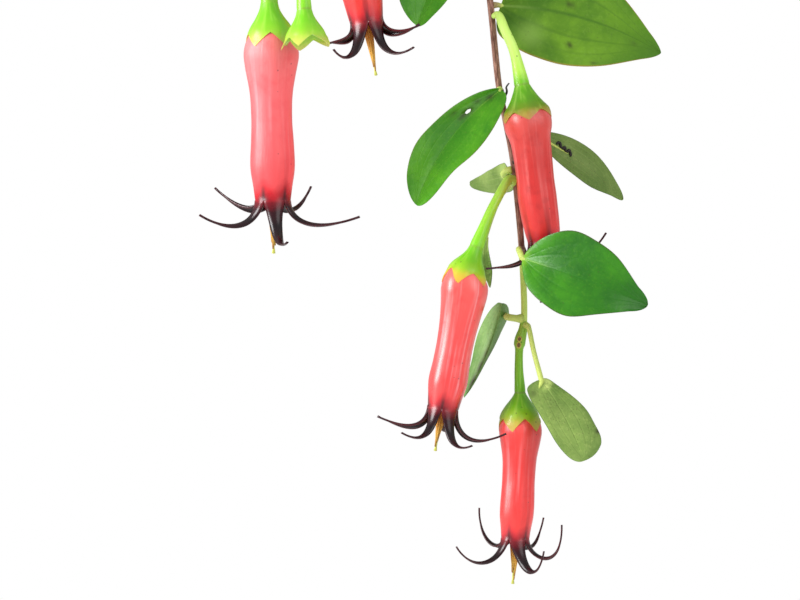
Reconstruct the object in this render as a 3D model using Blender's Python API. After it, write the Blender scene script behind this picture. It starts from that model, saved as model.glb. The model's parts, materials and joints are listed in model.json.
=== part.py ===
# Ceratostema trailing from a wire hanging basket, as separate solids.
# Metres, +Z up. The origin is the point inside the hook that bears on whatever the basket hangs from.
# Lists of places are in millimetres, and mm() turns them into metres.

import math
import random

import bmesh
import bpy
from mathutils import Matrix, Vector

MM = 0.001
GAP = 0.3 * MM

# Driving dimensions of the holder.
HOOK_INNER_RADIUS = 11 * MM
HOOK_WIRE_RADIUS = 1.7 * MM
COLLAR_RADIUS = 3.4 * MM
COLLAR_BOTTOM = -52 * MM
COLLAR_LENGTH = 10 * MM
HANGER_WIRE_RADIUS = 0.9 * MM
HANGER_AZIMUTHS = (105, 225, 345)
HOOK_NECK = ((0, 0, -35), (-2.6, 0, -28.5))
HOOK_ARC = range(228, -40, -24)
HOOK_RINGS = 22
COLLAR_CHAMFER = 1.0 * MM
HANGER_TOP = ((2.0, -52.3), (2.5, -59.0))
HANGER_BOW = 2.5 * MM
HANGER_SHARES = (0.04, 0.25, 0.5, 0.75, 0.99)
GRIP_ARC = range(20, -81, -20)
GRIP_RINGS = (7, 5.6, 4.2, 2.8, 1.4)
RIM_RADIUS = 100 * MM
RIM_HEIGHT = -330 * MM
RIM_WIRE_RADIUS = 2.0 * MM
RIB_WIRE_RADIUS = 1.1 * MM
RING_WIRE_RADIUS = 1.4 * MM
CROSS_WIRE_RADIUS = 1.0 * MM
CROSS_AZIMUTHS = (15, 105)
WIRE_SIDES = 6
RIB_COUNT = 12
BOWL_SIDES = 24
BOWL = ((100, -330), (99, -348), (95.5, -366), (88.5, -384), (77, -401), (60, -415), (36, -424))
LINER_THICKNESS = 7 * MM
LINER_LIP = 4 * MM
LINER_BASE_INSET = 3 * MM
SOIL_HEIGHT = -342 * MM
SOIL_DISH = 2 * MM

# Driving dimensions of the plant.
CROWN_RADIUS = 21 * MM
CROWN_EXIT_ANGLE = 36
CROWN_RISES = (0, 18, 36, 56, 76)
CROWN_SIDES = 16
CROWN_LUMPS = ((3, 0.025, 0.6), (5, 0.012, 0.0))
STEM_RUN_OUT = 16 * MM
STEM_OVER_RIM = 62 * MM
FREE_STEM_RADII = (1.5 * MM, 0.7 * MM)
FRONT_STEM_RADII = (1.6 * MM, 0.85 * MM)
STEM_SPAN = 16 * MM
PETIOLE_RADIUS = 0.75 * MM
LEAF_THICKNESS = 0.5 * MM
LEAF_STATIONS = (0.1, 0.3, 0.5, 0.7, 0.9)
FREE_LEAF_STATIONS = (0.16, 0.48, 0.82)
FREE_LEAF_WIDTHS = (0.78, 1.0, 0.55)
FREE_LEAF_LENGTH = (30 * MM, 41 * MM)
FREE_LEAF_HALF_WIDTH = (0.27, 0.31)
FREE_LEAF_STALK = 4.5 * MM
FREE_LEAF_FOLD = (8, 20)
NODE_HALF_LENGTH = 1.1 * MM
PEDICEL_RADIUS = 1.25 * MM
CALYX_LENGTH = 7.5 * MM
CALYX_TOOTH = 2.6 * MM
THROAT_WALL = 1.3 * MM
THROAT_DEPTH = 6 * MM
COROLLA_SEAT = 1.15 * MM
FLOWER_SIDES = 10
COROLLA_RADIUS = 6.3 * MM

# Radius of the corolla along its tube, as shares of its length and of COROLLA_RADIUS.
COROLLA_PROFILE = (
    (0.03, 0.85), (0.07, 0.965), (0.12, 1.0), (0.2, 0.93), (0.32, 0.83), (0.48, 0.79),
    (0.63, 0.79), (0.78, 0.83), (0.9, 0.74), (1.0, 0.68),
)
PLAIN_PROFILE = (
    (0.03, 0.85), (0.07, 0.965), (0.13, 1.0), (0.32, 0.83), (0.6, 0.79), (0.78, 0.83), (1.0, 0.68),
)

# Along a flower's stalk: the share of its length, and of PEDICEL_RADIUS. Then down its cup to near the rim:
# the distance short of the rim and the radius, in millimetres.
STALK_PROFILE = ((0, 1), (0.33, 1.02), (0.66, 1.1), (0.9, 1.25))
CUP_PROFILE = ((6.45, 1.9), (4.6, 3.3), (1.9, 5.1))

# The rings of a toothed rim, outer then inner: back from the rim, the radius, and the teeth's flare.
RIM_RINGS = ((0, 5.75, 1.05), (0.1, 5.3, 1.25))
CUP_FLOOR = (1.5, 4.45)

# The bundle of stamens: its radius in millimetres at its seat, in the throat, below it, and at its tip.
STAMEN_RADII = (1.5, 1.6, 0.75, 0.25)

# Along a lobe: the share of its length, and its half width and half depth in millimetres.
LOBE_STATIONS = ((0.16, 1.15, 0.5), (0.4, 0.85, 0.42), (0.62, 0.6, 0.34), (0.84, 0.34, 0.24))

BARK = (0.16, 0.06, 0.04)
LEAF_GREEN = (0.05, 0.22, 0.02)
LEAF_DEEP = (0.02, 0.13, 0.03)
LEAF_UNDER = (0.22, 0.32, 0.11)
CALYX_GREEN = (0.20, 0.45, 0.04)
CORAL = (0.80, 0.08, 0.08)
STAMEN_GOLD = (0.70, 0.36, 0.06)
BLACK_WIRE = (0.02, 0.02, 0.022)
COIR = (0.23, 0.12, 0.05)
SOIL = (0.05, 0.03, 0.018)


def mm(place):
    return Vector(place) * MM


def polar(azimuth, radius=1.0, height=0.0):
    turn = math.radians(azimuth)
    return Vector((math.cos(turn) * radius, math.sin(turn) * radius, height))


def clear_scene():
    for thing in list(bpy.data.objects):
        bpy.data.objects.remove(thing, do_unlink=True)


def make_material(name, colour, roughness, metallic=0.0):
    material = bpy.data.materials.new(name)
    material.use_nodes = True
    shader = material.node_tree.nodes["Principled BSDF"]
    shader.inputs["Base Color"].default_value = (*colour, 1.0)
    shader.inputs["Roughness"].default_value = roughness
    shader.inputs["Metallic"].default_value = metallic
    material.diffuse_color = (*colour, 1.0)
    return material


def make_object(name, bm, material):
    mesh = bpy.data.meshes.new(name)
    bm.to_mesh(mesh)
    bm.free()
    mesh.materials.append(material)
    mesh.shade_smooth()
    mesh.set_sharp_from_angle(angle=math.radians(50))
    thing = bpy.data.objects.new(name, mesh)
    bpy.context.scene.collection.objects.link(thing)
    thing.parent = bpy.data.objects["basket_origin"]
    return thing


class Route:
    """A smooth curve through placed points, read by distance. Its cross directions turn least."""

    SPAN_STEPS = 10

    def __init__(self, points, hint=(1, 0, 0)):
        ends = [points[0] * 2 - points[1], *points, points[-1] * 2 - points[-2]]
        self.points = [points[0].copy()]
        for before, start, end, after in zip(ends, ends[1:], ends[2:], ends[3:]):
            for step in range(1, self.SPAN_STEPS + 1):
                t = step / self.SPAN_STEPS
                bend = before * (-t + 2 * t**2 - t**3) + start * (2 - 5 * t**2 + 3 * t**3)
                bend += end * (t + 4 * t**2 - 3 * t**3) + after * (-t**2 + t**3)
                self.points.append(bend / 2)
        self.places = [0.0]
        for start, end in zip(self.points, self.points[1:]):
            self.places.append(self.places[-1] + (end - start).length)
        self.length = self.places[-1]
        across = Vector(hint)
        self.across = []
        for index in reversed(range(len(self.points))):
            along = self.direction(index)
            across = (across - along * across.dot(along)).normalized()
            self.across.insert(0, across)

    def direction(self, index):
        before = self.points[max(index - 1, 0)]
        after = self.points[min(index + 1, len(self.points) - 1)]
        return (after - before).normalized()

    def frame(self, place):
        """The point, the direction along, and the two directions across, at this distance."""
        index = 1
        while index < len(self.places) - 1 and self.places[index] < place:
            index += 1
        share = (place - self.places[index - 1]) / (self.places[index] - self.places[index - 1])
        point = self.points[index - 1].lerp(self.points[index], share)
        share = min(max(share, 0.0), 1.0)
        along = self.direction(index - 1).lerp(self.direction(index), share).normalized()
        across = self.across[index - 1].lerp(self.across[index], share)
        across = (across - along * across.dot(along)).normalized()
        return point, along, across, along.cross(across)


def add_rings(bm, rings):
    """Joins rings of points with walls. Each ring runs anticlockwise about the way that they go."""
    made = [[bm.verts.new(point) for point in ring] for ring in rings]
    walls = []
    for lower, upper in zip(made, made[1:]):
        row = []
        for index in range(len(lower)):
            after = (index + 1) % len(lower)
            row.append(bm.faces.new((lower[index], lower[after], upper[after], upper[index])))
        walls.append(row)
    return made, walls


def close_ends(bm, rings, tip=None):
    bm.faces.new(list(reversed(rings[0])))
    if tip is None:
        bm.faces.new(rings[-1])
        return
    end = bm.verts.new(tip)
    last = rings[-1]
    for index in range(len(last)):
        bm.faces.new((last[index], last[(index + 1) % len(last)], end))


def route_ring(route, place, radius, sides, tooth=0.0, flare=0.0):
    """A ring about the route. Every other point may reach on by a tooth, and stand out by a flare."""
    ring = []
    for index in range(sides):
        turn = 2 * math.pi * index / sides
        extra = 1 - index % 2
        point, _, across, up = route.frame(place + tooth * extra)
        outward = across * math.cos(turn) + up * math.sin(turn)
        ring.append(point + outward * (radius + flare * extra))
    return ring


def turned(name, profile, sides, material):
    """A closed turned body about the vertical axis, from (radius, height) pairs."""
    bm = bmesh.new()
    rings = [[polar(360 * index / sides, radius, height) for index in range(sides)]
             for radius, height in profile]
    made, _ = add_rings(bm, rings)
    close_ends(bm, made)
    return make_object(name, bm, material)


def tube(name, route, stations, sides, material):
    """A closed tube along a route, from (distance, radius) pairs."""
    bm = bmesh.new()
    rings = [route_ring(route, place, radius, sides) for place, radius in stations]
    made, _ = add_rings(bm, rings)
    close_ends(bm, made)
    return make_object(name, bm, material)


# ---- holder ----


def hook_route():
    centre = Vector((0, 0, -HOOK_INNER_RADIUS))
    bend = HOOK_INNER_RADIUS + HOOK_WIRE_RADIUS
    points = [Vector((0, 0, COLLAR_BOTTOM)), Vector((0, 0, COLLAR_BOTTOM + COLLAR_LENGTH))]
    points += [mm(place) for place in HOOK_NECK]
    for angle in HOOK_ARC:
        turn = math.radians(angle)
        points.append(centre + Vector((math.cos(turn), 0, math.sin(turn))) * bend)
    return Route(points, hint=(0, 1, 0))


def make_hook(material):
    route = hook_route()
    collar_end = COLLAR_LENGTH + COLLAR_CHAMFER / 2
    shoulder = COLLAR_LENGTH - COLLAR_CHAMFER
    stations = [(0, COLLAR_RADIUS), (shoulder, COLLAR_RADIUS), (collar_end, HOOK_WIRE_RADIUS)]
    for ring in range(1, HOOK_RINGS + 1):
        stations.append((collar_end + (route.length - collar_end) * ring / HOOK_RINGS, HOOK_WIRE_RADIUS))
    return tube("hanger_hook", route, stations, 8, material)


def make_hanger_wire(number, azimuth, material):
    """One stiff wire, from under the hook's collar to the rim, which it grips from outside."""
    grip = RIM_WIRE_RADIUS + HANGER_WIRE_RADIUS + GAP
    points = [polar(azimuth, radius * MM, height * MM) for radius, height in HANGER_TOP]
    arc = []
    for angle in GRIP_ARC:
        turn = math.radians(angle)
        arc.append(polar(azimuth, RIM_RADIUS + grip * math.cos(turn), RIM_HEIGHT + grip * math.sin(turn)))
    top = points[1]
    for share in HANGER_SHARES:
        bow = polar(azimuth, HANGER_BOW * 4 * share * (1 - share))
        points.append(top.lerp(arc[0], share) + bow)
    points += arc
    route = Route(points, hint=polar(azimuth + 90))
    grip_start = route.length - GRIP_RINGS[0] * MM
    spans = math.ceil(grip_start / STEM_SPAN)
    places = [grip_start * span / spans for span in range(spans)]
    places += [route.length - back * MM for back in (*GRIP_RINGS, 0)]
    stations = [(place, HANGER_WIRE_RADIUS) for place in places]
    return tube(f"hanger_wire_{number}", route, stations, WIRE_SIDES, material)


def torus(name, radius, height, wire_radius):
    bpy.ops.mesh.primitive_torus_add(
        major_radius=radius, minor_radius=wire_radius, location=(0, 0, height),
        major_segments=BOWL_SIDES, minor_segments=WIRE_SIDES,
    )
    ring = bpy.context.object
    ring.name = name
    return ring


def unite(thing, helper):
    helper.hide_render = True
    helper.display_type = "WIRE"
    joint = thing.modifiers.new(helper.name, "BOOLEAN")
    joint.operation = "UNION"
    joint.object = helper


def make_frame(material):
    """The wire bowl: rim, middle and base rings, upright ribs and a crossed base, welded in one."""
    frame = torus("basket_frame", RIM_RADIUS, RIM_HEIGHT, RIM_WIRE_RADIUS)
    frame.data.materials.append(material)
    frame.parent = bpy.data.objects["basket_origin"]
    ribs = bmesh.new()
    for number in range(RIB_COUNT):
        azimuth = 360 * number / RIB_COUNT
        rings = []
        for index, (radius, height) in enumerate(BOWL):
            before = BOWL[max(index - 1, 0)]
            after = BOWL[min(index + 1, len(BOWL) - 1)]
            along = polar(azimuth, after[0] - before[0], after[1] - before[1]).normalized()
            side = polar(azimuth + 90)
            out = along.cross(side)
            centre = polar(azimuth, radius * MM, height * MM)
            ring = []
            for step in range(WIRE_SIDES):
                turn = 2 * math.pi * (step + 0.5) / WIRE_SIDES
                ring.append(centre + (side * math.cos(turn) + out * math.sin(turn)) * RIB_WIRE_RADIUS)
            rings.append(ring)
        made, _ = add_rings(ribs, rings)
        close_ends(ribs, made)
    unite(frame, make_object("frame_ribs", ribs, material))
    for name, (radius, height) in (("frame_middle_ring", BOWL[3]), ("frame_base_ring", BOWL[-1])):
        unite(frame, torus(name, radius * MM, height * MM, RING_WIRE_RADIUS))
    reach, height = (size * MM for size in BOWL[-1])
    for number, azimuth in enumerate(CROSS_AZIMUTHS):
        level = height - number * CROSS_WIRE_RADIUS
        route = Route([polar(azimuth, reach, level), polar(azimuth, -reach, level)])
        stations = ((0, CROSS_WIRE_RADIUS), (route.length, CROSS_WIRE_RADIUS))
        unite(frame, tube(f"frame_cross_{number}", route, stations, WIRE_SIDES, material))
    return frame


def liner_outside():
    """The coir's outer profile, from its base up, just inside the wires."""
    clearance = RING_WIRE_RADIUS + 2 * GAP
    profile = [(BOWL[-1][0] * MM - LINER_BASE_INSET, BOWL[-1][1] * MM + clearance)]
    for index in range(len(BOWL) - 2, 0, -1):
        before, after = Vector(BOWL[index + 1]), Vector(BOWL[index - 1])
        slope = (after - before).normalized()
        profile.append((BOWL[index][0] * MM - slope.y * clearance, BOWL[index][1] * MM + slope.x * clearance))
    rim = RIM_RADIUS - RIM_WIRE_RADIUS - 2 * GAP
    return profile + [(rim, RIM_HEIGHT), (rim, RIM_HEIGHT + LINER_LIP)]


def liner_inside():
    """The coir's inner profile, from its lip down."""
    outside = liner_outside()
    profile = [(radius - LINER_THICKNESS, height) for radius, height in reversed(outside[2:])]
    radius, height = outside[1]
    profile.append((radius - LINER_THICKNESS * 0.8, height + LINER_THICKNESS * 0.7))
    return profile + [(outside[0][0] - LINER_THICKNESS * 0.3, outside[0][1] + LINER_THICKNESS)]


def make_soil(material):
    inside = [(radius - GAP, height + GAP) for radius, height in reversed(liner_inside())]
    profile = [place for place in inside if place[1] < SOIL_HEIGHT - 2 * SOIL_DISH]
    edge = inside[-2][0] - GAP
    profile += [(edge, SOIL_HEIGHT - SOIL_DISH), (edge * 0.6, SOIL_HEIGHT - SOIL_DISH / 5)]
    profile.append((CROWN_RADIUS + 2 * SOIL_DISH, SOIL_HEIGHT))
    return turned("potting_mix", profile, BOWL_SIDES, material)


# ---- plant ----


def crown_reach(direction):
    """How far the knobbly woody crown stands out from its middle, this way."""
    turn = math.atan2(direction.y, direction.x)
    lumps = sum(depth * math.sin(count * turn + start) for count, depth, start in CROWN_LUMPS)
    return CROWN_RADIUS * (1 + lumps)


def make_crown(material):
    bm = bmesh.new()
    rings = []
    foot = Vector((0, 0, SOIL_HEIGHT + GAP))
    for rise in map(math.radians, CROWN_RISES):
        ring = []
        for index in range(CROWN_SIDES):
            out = polar(360 * index / CROWN_SIDES, math.cos(rise), math.sin(rise))
            ring.append(foot + out * crown_reach(out))
        rings.append(ring)
    made, _ = add_rings(bm, rings)
    close_ends(bm, made)
    return make_object("woody_crown", bm, material)


def crown_start(azimuth):
    """Where a stem leaves the crown, and the way that it leaves."""
    rise = math.radians(CROWN_EXIT_ANGLE)
    out = polar(azimuth, math.cos(rise), math.sin(rise))
    return Vector((0, 0, SOIL_HEIGHT + GAP)) + out * (crown_reach(out) + 1.7 * GAP), out


def stem_route(azimuth, over, trail):
    """From the crown, over the rim at a height above it, and then through the trailing points."""
    start, out = crown_start(azimuth)
    points = [start, start + out * STEM_RUN_OUT]
    points.append(polar(azimuth, STEM_OVER_RIM, RIM_HEIGHT + over * 0.95))
    return Route(points + trail)


def trailing_points(azimuth, over, reach, end, drift):
    """A free stem's way down outside the basket."""
    side = polar(azimuth + 90) * drift
    return [
        polar(azimuth, reach * 0.76, RIM_HEIGHT + over * 0.9),
        polar(azimuth, reach * 0.95, RIM_HEIGHT + over * 0.15),
        polar(azimuth, reach, RIM_HEIGHT - 30 * MM) + side * 0.4,
        polar(azimuth, reach + 2 * MM, end) + side,
    ]


def leaf_rings(leaf):
    """Four-point rings from a leaf's base to near its tip: left margin, top, right margin, underside."""
    base, tip = leaf["base"], leaf["tip"]
    along = (tip - base).normalized()
    facing = leaf["facing"]
    facing = (facing - along * facing.dot(along)).normalized()
    side = facing.cross(along)
    lift = facing * LEAF_THICKNESS / 2
    tilts = [math.radians(angle) for angle in leaf["tilts"]]
    to_left = side * math.cos(tilts[0]) + facing * math.sin(tilts[0])
    to_right = -side * math.cos(tilts[1]) + facing * math.sin(tilts[1])
    rings = [[base + side * PETIOLE_RADIUS, base + facing * PETIOLE_RADIUS,
              base - side * PETIOLE_RADIUS, base - facing * PETIOLE_RADIUS]]
    for share, left, right in zip(leaf["stations"], leaf["left"], leaf["right"]):
        bulge = 4 * share * (1 - share)
        middle = base.lerp(tip, share) + (facing * leaf["arch"] + side * leaf["sway"]) * bulge
        rings.append([middle + to_left * left, middle + lift, middle + to_right * right, middle - lift])
    return rings


def stalk_ring(point, along, facing):
    facing = (facing - along * facing.dot(along)).normalized()
    side = facing.cross(along)
    return [point + way * PETIOLE_RADIUS for way in (side, facing, -side, -facing)]


def nearest_on(route, point):
    """The distance along a route that is nearest to a point."""
    return min((place for place in route.places), key=lambda place: (route.frame(place)[0] - point).length)


def stem_radius(route, radii, place):
    thick, thin = radii
    return thin + (thick - thin) * (1 - place / route.length) ** 2


def seat_on(route, radii, point):
    """Where a stalk meets the stem's side on its way to a point, and the way that it leaves."""
    place = nearest_on(route, point)
    centre, along, _, _ = route.frame(place)
    away = point - centre
    away = (away - along * away.dot(along)).normalized()
    return centre + away * (stem_radius(route, radii, place) + GAP), away


def make_leaf(name, route, radii, places, leaf, material):
    """A leaf with its stalk, seated on a stem's side and led through the stalk's points to its base."""
    seat, away = seat_on(route, radii, places[0])
    leaf["base"] = places[-1]
    stalk = Route([seat, seat + away * 1.5 * MM, *places[1:]])
    rings = [stalk_ring(seat, away, leaf["facing"])]
    for share in (0.4, 0.7):
        point, along, _, _ = stalk.frame(stalk.length * share)
        rings.append(stalk_ring(point, along, leaf["facing"]))
    bm = bmesh.new()
    made, _ = add_rings(bm, rings + leaf_rings(leaf))
    close_ends(bm, made, tip=leaf["tip"])
    return make_object(name, bm, material)


def placed_leaf(tip, left, right, tilts, sway=0.0, arch=0.0, facing=(0, -1, 0)):
    """A leaf whose two halves are given apart, in millimetres."""
    return {
        "tip": mm(tip), "facing": Vector(facing), "tilts": tilts, "stations": LEAF_STATIONS,
        "sway": sway * MM, "arch": arch * MM,
        "left": [width * MM / math.cos(math.radians(tilts[0])) for width in left],
        "right": [width * MM / math.cos(math.radians(tilts[1])) for width in right],
    }


def free_leaf(seat, away, along, out, rng):
    """A leaf on a free stem: its base, its tip and how it faces are worked out from where it sits."""
    length = rng.uniform(*FREE_LEAF_LENGTH)
    width = length * rng.uniform(*FREE_LEAF_HALF_WIDTH)
    lean = (away * 0.9 + along * rng.uniform(0.35, 0.7) + Vector((0, 0, -0.25))).normalized()
    base = seat + (away * 0.7 + lean * 0.3) * FREE_LEAF_STALK
    widths = [width * share for share in FREE_LEAF_WIDTHS]
    fold = rng.uniform(*FREE_LEAF_FOLD)
    return {
        "base": base, "tip": base + lean * length, "left": widths, "right": widths,
        "stations": FREE_LEAF_STATIONS,
        "facing": out + Vector((0, 0, 0.55)) + Vector((rng.uniform(-0.2, 0.2), rng.uniform(-0.2, 0.2), 0)),
        "tilts": (fold, fold), "sway": rng.uniform(-1.5, 1.5) * MM, "arch": rng.uniform(0.5, 2.5) * MM,
    }


def grow(bm, face, rings, tip):
    """Draws one face out through rings of four points, and gathers it into a point."""
    for ring in rings:
        face = bmesh.ops.extrude_discrete_faces(bm, faces=[face])["faces"][0]
        corners = list(face.verts)
        middle = sum((corner.co for corner in corners), Vector()) / 4
        target = sum(ring, Vector()) / 4
        shifts = []
        for shift in range(4):
            turned_ring = ring[shift:] + ring[:shift]
            misfit = sum(((corner.co - middle) - (point - target)).length
                         for corner, point in zip(corners, turned_ring))
            shifts.append((misfit, shift))
        shift = min(shifts)[1]
        for corner, point in zip(corners, ring[shift:] + ring[:shift]):
            corner.co = point
    bmesh.ops.pointmerge(bm, verts=list(face.verts), merge_co=tip)


def leafy_stem(name, route, radii, leaf_places, seed, material, sides=5, pointed=True):
    """A woody stem with its leaves grown out of its side, as one closed body."""
    rng = random.Random(seed)
    marks = [0.0]
    for place in leaf_places:
        marks += [place - NODE_HALF_LENGTH, place + NODE_HALF_LENGTH]
    marks.append(route.length - (4 * MM if pointed else 0))
    stations = []
    for start, end in zip(marks, marks[1:]):
        steps = math.ceil((end - start) / STEM_SPAN)
        stations += [start + (end - start) * step / steps for step in range(steps)]
    stations.append(marks[-1])
    rings = []
    for place in stations:
        rings.append(route_ring(route, place, stem_radius(route, radii, place), sides))
    bm = bmesh.new()
    made, walls = add_rings(bm, rings)
    close_ends(bm, made, tip=route.points[-1] if pointed else None)
    bm.normal_update()
    grown = []
    for count, place in enumerate(leaf_places):
        row = walls[stations.index(place - NODE_HALF_LENGTH)]
        point, along, _, _ = route.frame(place)
        outward = Vector((point.x, point.y, 0)).normalized()
        beside = along.cross(outward).normalized()
        swing = rng.uniform(-0.15, 0.25)
        want = (beside * (1 if count % 2 else -1) + outward * swing).normalized()
        face = max(row, key=lambda wall: wall.normal.dot(want))
        seat = face.calc_center_median()
        away = (want - along * want.dot(along)).normalized()
        grown.append((face, free_leaf(seat, away, along, outward, rng)))
    for face, leaf in grown:
        grow(bm, face, leaf_rings(leaf), leaf["tip"])
    return make_object(name, bm, material)


def spaced(first, last, count):
    return [(first + (last - first) * index / (count - 1)) * MM for index in range(count)]


# ---- flowers ----


def lobe_rings(centre, along, base, lobe, scale):
    """Rings of one reflexed lobe, and its tip. It bends in the upright plane of its azimuth."""
    azimuth, *pulls = lobe
    out = polar(azimuth)
    controls = [base] + [centre + (out * reach + Vector((0, 0, rise))) * MM for reach, rise in pulls]
    rings = []
    for share, half_width, half_depth in LOBE_STATIONS:
        point, way = bezier(controls, share)
        side = way.cross(out.cross(Vector((0, 0, 1)))).normalized()
        flat = side.cross(way).normalized()
        wide = flat * half_width * MM * scale
        deep = side * half_depth * MM * scale
        rings.append([point + wide + deep, point - wide + deep, point - wide - deep, point + wide - deep])
    for ring in rings:
        normal = (ring[1] - ring[0]).cross(ring[2] - ring[1])
        if normal.dot(controls[-1] - base) < 0 and normal.dot(bezier(controls, 0.3)[1]) < 0:
            ring.reverse()
    return rings, controls[-1]


def bezier(controls, share):
    a, b, c, d = controls
    rest = 1 - share
    point = a * rest**3 + b * 3 * rest**2 * share + c * 3 * rest * share**2 + d * share**3
    way = (b - a) * rest**2 + (c - b) * 2 * rest * share + (d - c) * share**2
    return point, way.normalized()


def make_calyx(name, route, rim, scale, material):
    """The flower's stalk and the toothed cup at its end, with a socket for the corolla."""
    unit = MM * scale
    stalk = rim - CALYX_LENGTH * scale
    profile = [(stalk * share, PEDICEL_RADIUS * scale * swell) for share, swell in STALK_PROFILE]
    profile += [(rim - back * unit, radius * unit) for back, radius in CUP_PROFILE]
    rings = [route_ring(route, place, radius, FLOWER_SIDES) for place, radius in profile]
    for back, radius, flare in RIM_RINGS:
        rings.append(route_ring(route, rim - back * unit, radius * unit, FLOWER_SIDES,
                                CALYX_TOOTH * scale, flare * unit))
    back, radius = CUP_FLOOR
    rings.append(route_ring(route, rim - back * unit, radius * unit, FLOWER_SIDES))
    bm = bmesh.new()
    made, _ = add_rings(bm, rings)
    close_ends(bm, made)
    return make_object(name, bm, material)


def make_corolla(name, route, rim, scale, lobes, material, swells):
    """The corolla's tube, open at its throat, with its lobes grown out of the throat's edge."""
    length = route.length - rim
    full = COROLLA_RADIUS * scale
    profile = [(rim - COROLLA_SEAT * scale, full * 0.62), (rim, full * 0.746)]
    profile += [(rim + length * share, full * swell) for share, swell in swells]
    wall = THROAT_WALL * scale
    throat = full * swells[-1][1]
    profile += [(route.length, throat - wall), (route.length - THROAT_DEPTH * scale, throat - wall * 1.1)]
    bm = bmesh.new()
    made, walls = add_rings(bm, [route_ring(route, *place, FLOWER_SIDES) for place in profile])
    close_ends(bm, made)
    bm.normal_update()
    centre, along, _, _ = route.frame(route.length)
    for number, lobe in enumerate(lobes):
        face = walls[-2][-2 * number % FLOWER_SIDES]
        rings, tip = lobe_rings(centre, along, face.calc_center_median(), lobe, scale)
        grow(bm, face, rings, tip)
    return make_object(name, bm, material)


def make_stamens(name, route, scale, reach, material):
    """The bundle of anthers round the style, standing out of the throat."""
    seat, along, across, _ = route.frame(route.length - THROAT_DEPTH * scale + GAP)
    places = [THROAT_DEPTH * scale + reach * share for share in (0.12, 0.62, 1.0)]
    points = [seat] + [seat + along * place for place in places]
    bm = bmesh.new()
    rings = []
    for point, radius in zip(points, STAMEN_RADII):
        rings.append([point + Matrix.Rotation(math.radians(60 * step), 3, along) @ across * radius * MM
                      for step in range(6)])
    made, _ = add_rings(bm, rings)
    close_ends(bm, made)
    return make_object(name, bm, material)


FRONT_STEM = (
    (14, -100, -294), (19, -128, -330), (21, -145, -390), (20.4, -150.5, -430), (21, -150.5, -453.5),
    (24.3, -150, -479), (26.5, -150, -500.6), (28.4, -150, -510.9), (30.5, -150, -522.2),
    (32.1, -150, -537.1), (32.9, -150, -547), (33.5, -150, -560), (33.5, -150, -567),
)
LEFT_STEM = (
    (-20, -102, -296), (-23, -140, -330), (-21.5, -163, -385), (-20.6, -170.5, -427.9),
    (-25, -178, -446), (-31.2, -185, -462),
)

# Stalk points (the first is aimed at from the stem), then the blade.
FRONT_LEAVES = {
    "leaf_a": (((26.5, -149.6, -479.6), (27.6, -149.8, -480.6)), dict(
        tip=(70.1, -155, -493.6), left=(8.9, 12.5, 12.4, 8.8, 3.3), right=(8.7, 12.1, 12.4, 9.3, 4.0),
        tilts=(12, -8), sway=3.0)),
    "leaf_b": (((26.9, -152.2, -504.5), (26.6, -153, -505)), dict(
        tip=(4.3, -160, -534.6), left=(3.7, 6.7, 6.8, 4.9, 3.0), right=(3.4, 6.3, 6.9, 7.3, 5.3),
        tilts=(28, 28), sway=-3.1)),
    "leaf_c": (((31.0, -147.5, -513.3), (33.9, -146, -514.2)), dict(
        tip=(61.0, -138, -532.6), left=(1.6, 3.8, 4.0, 3.3, 1.6), right=(1.2, 3.0, 3.9, 3.6, 1.4),
        tilts=(-50, 50), sway=1.7)),
    "leaf_d": (((29.6, -147.5, -525), (29.0, -145, -525.6)), dict(
        tip=(19.4, -124, -527.7), left=(3.6, 4.6, 4.4, 3.6, 1.9), right=(2.0, 2.8, 3.0, 2.4, 1.2),
        tilts=(-12, 12), sway=0.6)),
    "leaf_e": (((31.8, -156, -546.4), (31.6, -162, -546.8), (32.9, -166, -548.6)), dict(
        tip=(65.1, -172, -560.8), left=(6.6, 10.8, 10.7, 8.5, 3.4), right=(6.2, 9.9, 10.7, 7.5, 3.5),
        tilts=(14, 14), sway=0.5)),
    "leaf_f": (((31.0, -151.2, -564.9), (28.8, -152, -564.3)), dict(
        tip=(17.3, -147, -586.5), left=(0.9, 1.2, 1.3, 1.1, 0.6), right=(3.2, 3.4, 3.1, 1.8, 0.8),
        tilts=(-78, -62), sway=-0.4)),
    "leaf_g": (((35.0, -152.5, -569.5), (36.0, -154, -574.0), (37.8, -157, -581.2)), dict(
        tip=(49.1, -164, -602.7), left=(3.4, 5.2, 6.1, 6.5, 6.1), right=(4.6, 5.8, 6.1, 5.5, 3.4),
        tilts=(-34, 34), sway=0.8)),
    "leaf_h": (((29.4, -147.6, -528.6), (27.6, -147.2, -531.6), (25.4, -146.5, -536),
                (24.6, -146.2, -540.5)), dict(
        tip=(24.4, -147, -556.5), left=(0.6, 0.9, 1.0, 1.0, 0.5), right=(0.9, 1.9, 2.1, 1.4, 0.6),
        tilts=(-80, -62), sway=0.0)),
    "leaf_i": (((20.0, -151.8, -455.5), (19.6, -152.4, -457)), dict(
        tip=(4.5, -163, -487.1), left=(2.4, 4.6, 5.4, 5.4, 2.8), right=(3.4, 7.2, 9.0, 9.5, 6.8),
        tilts=(20, 20), sway=-1.4)),
}

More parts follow.
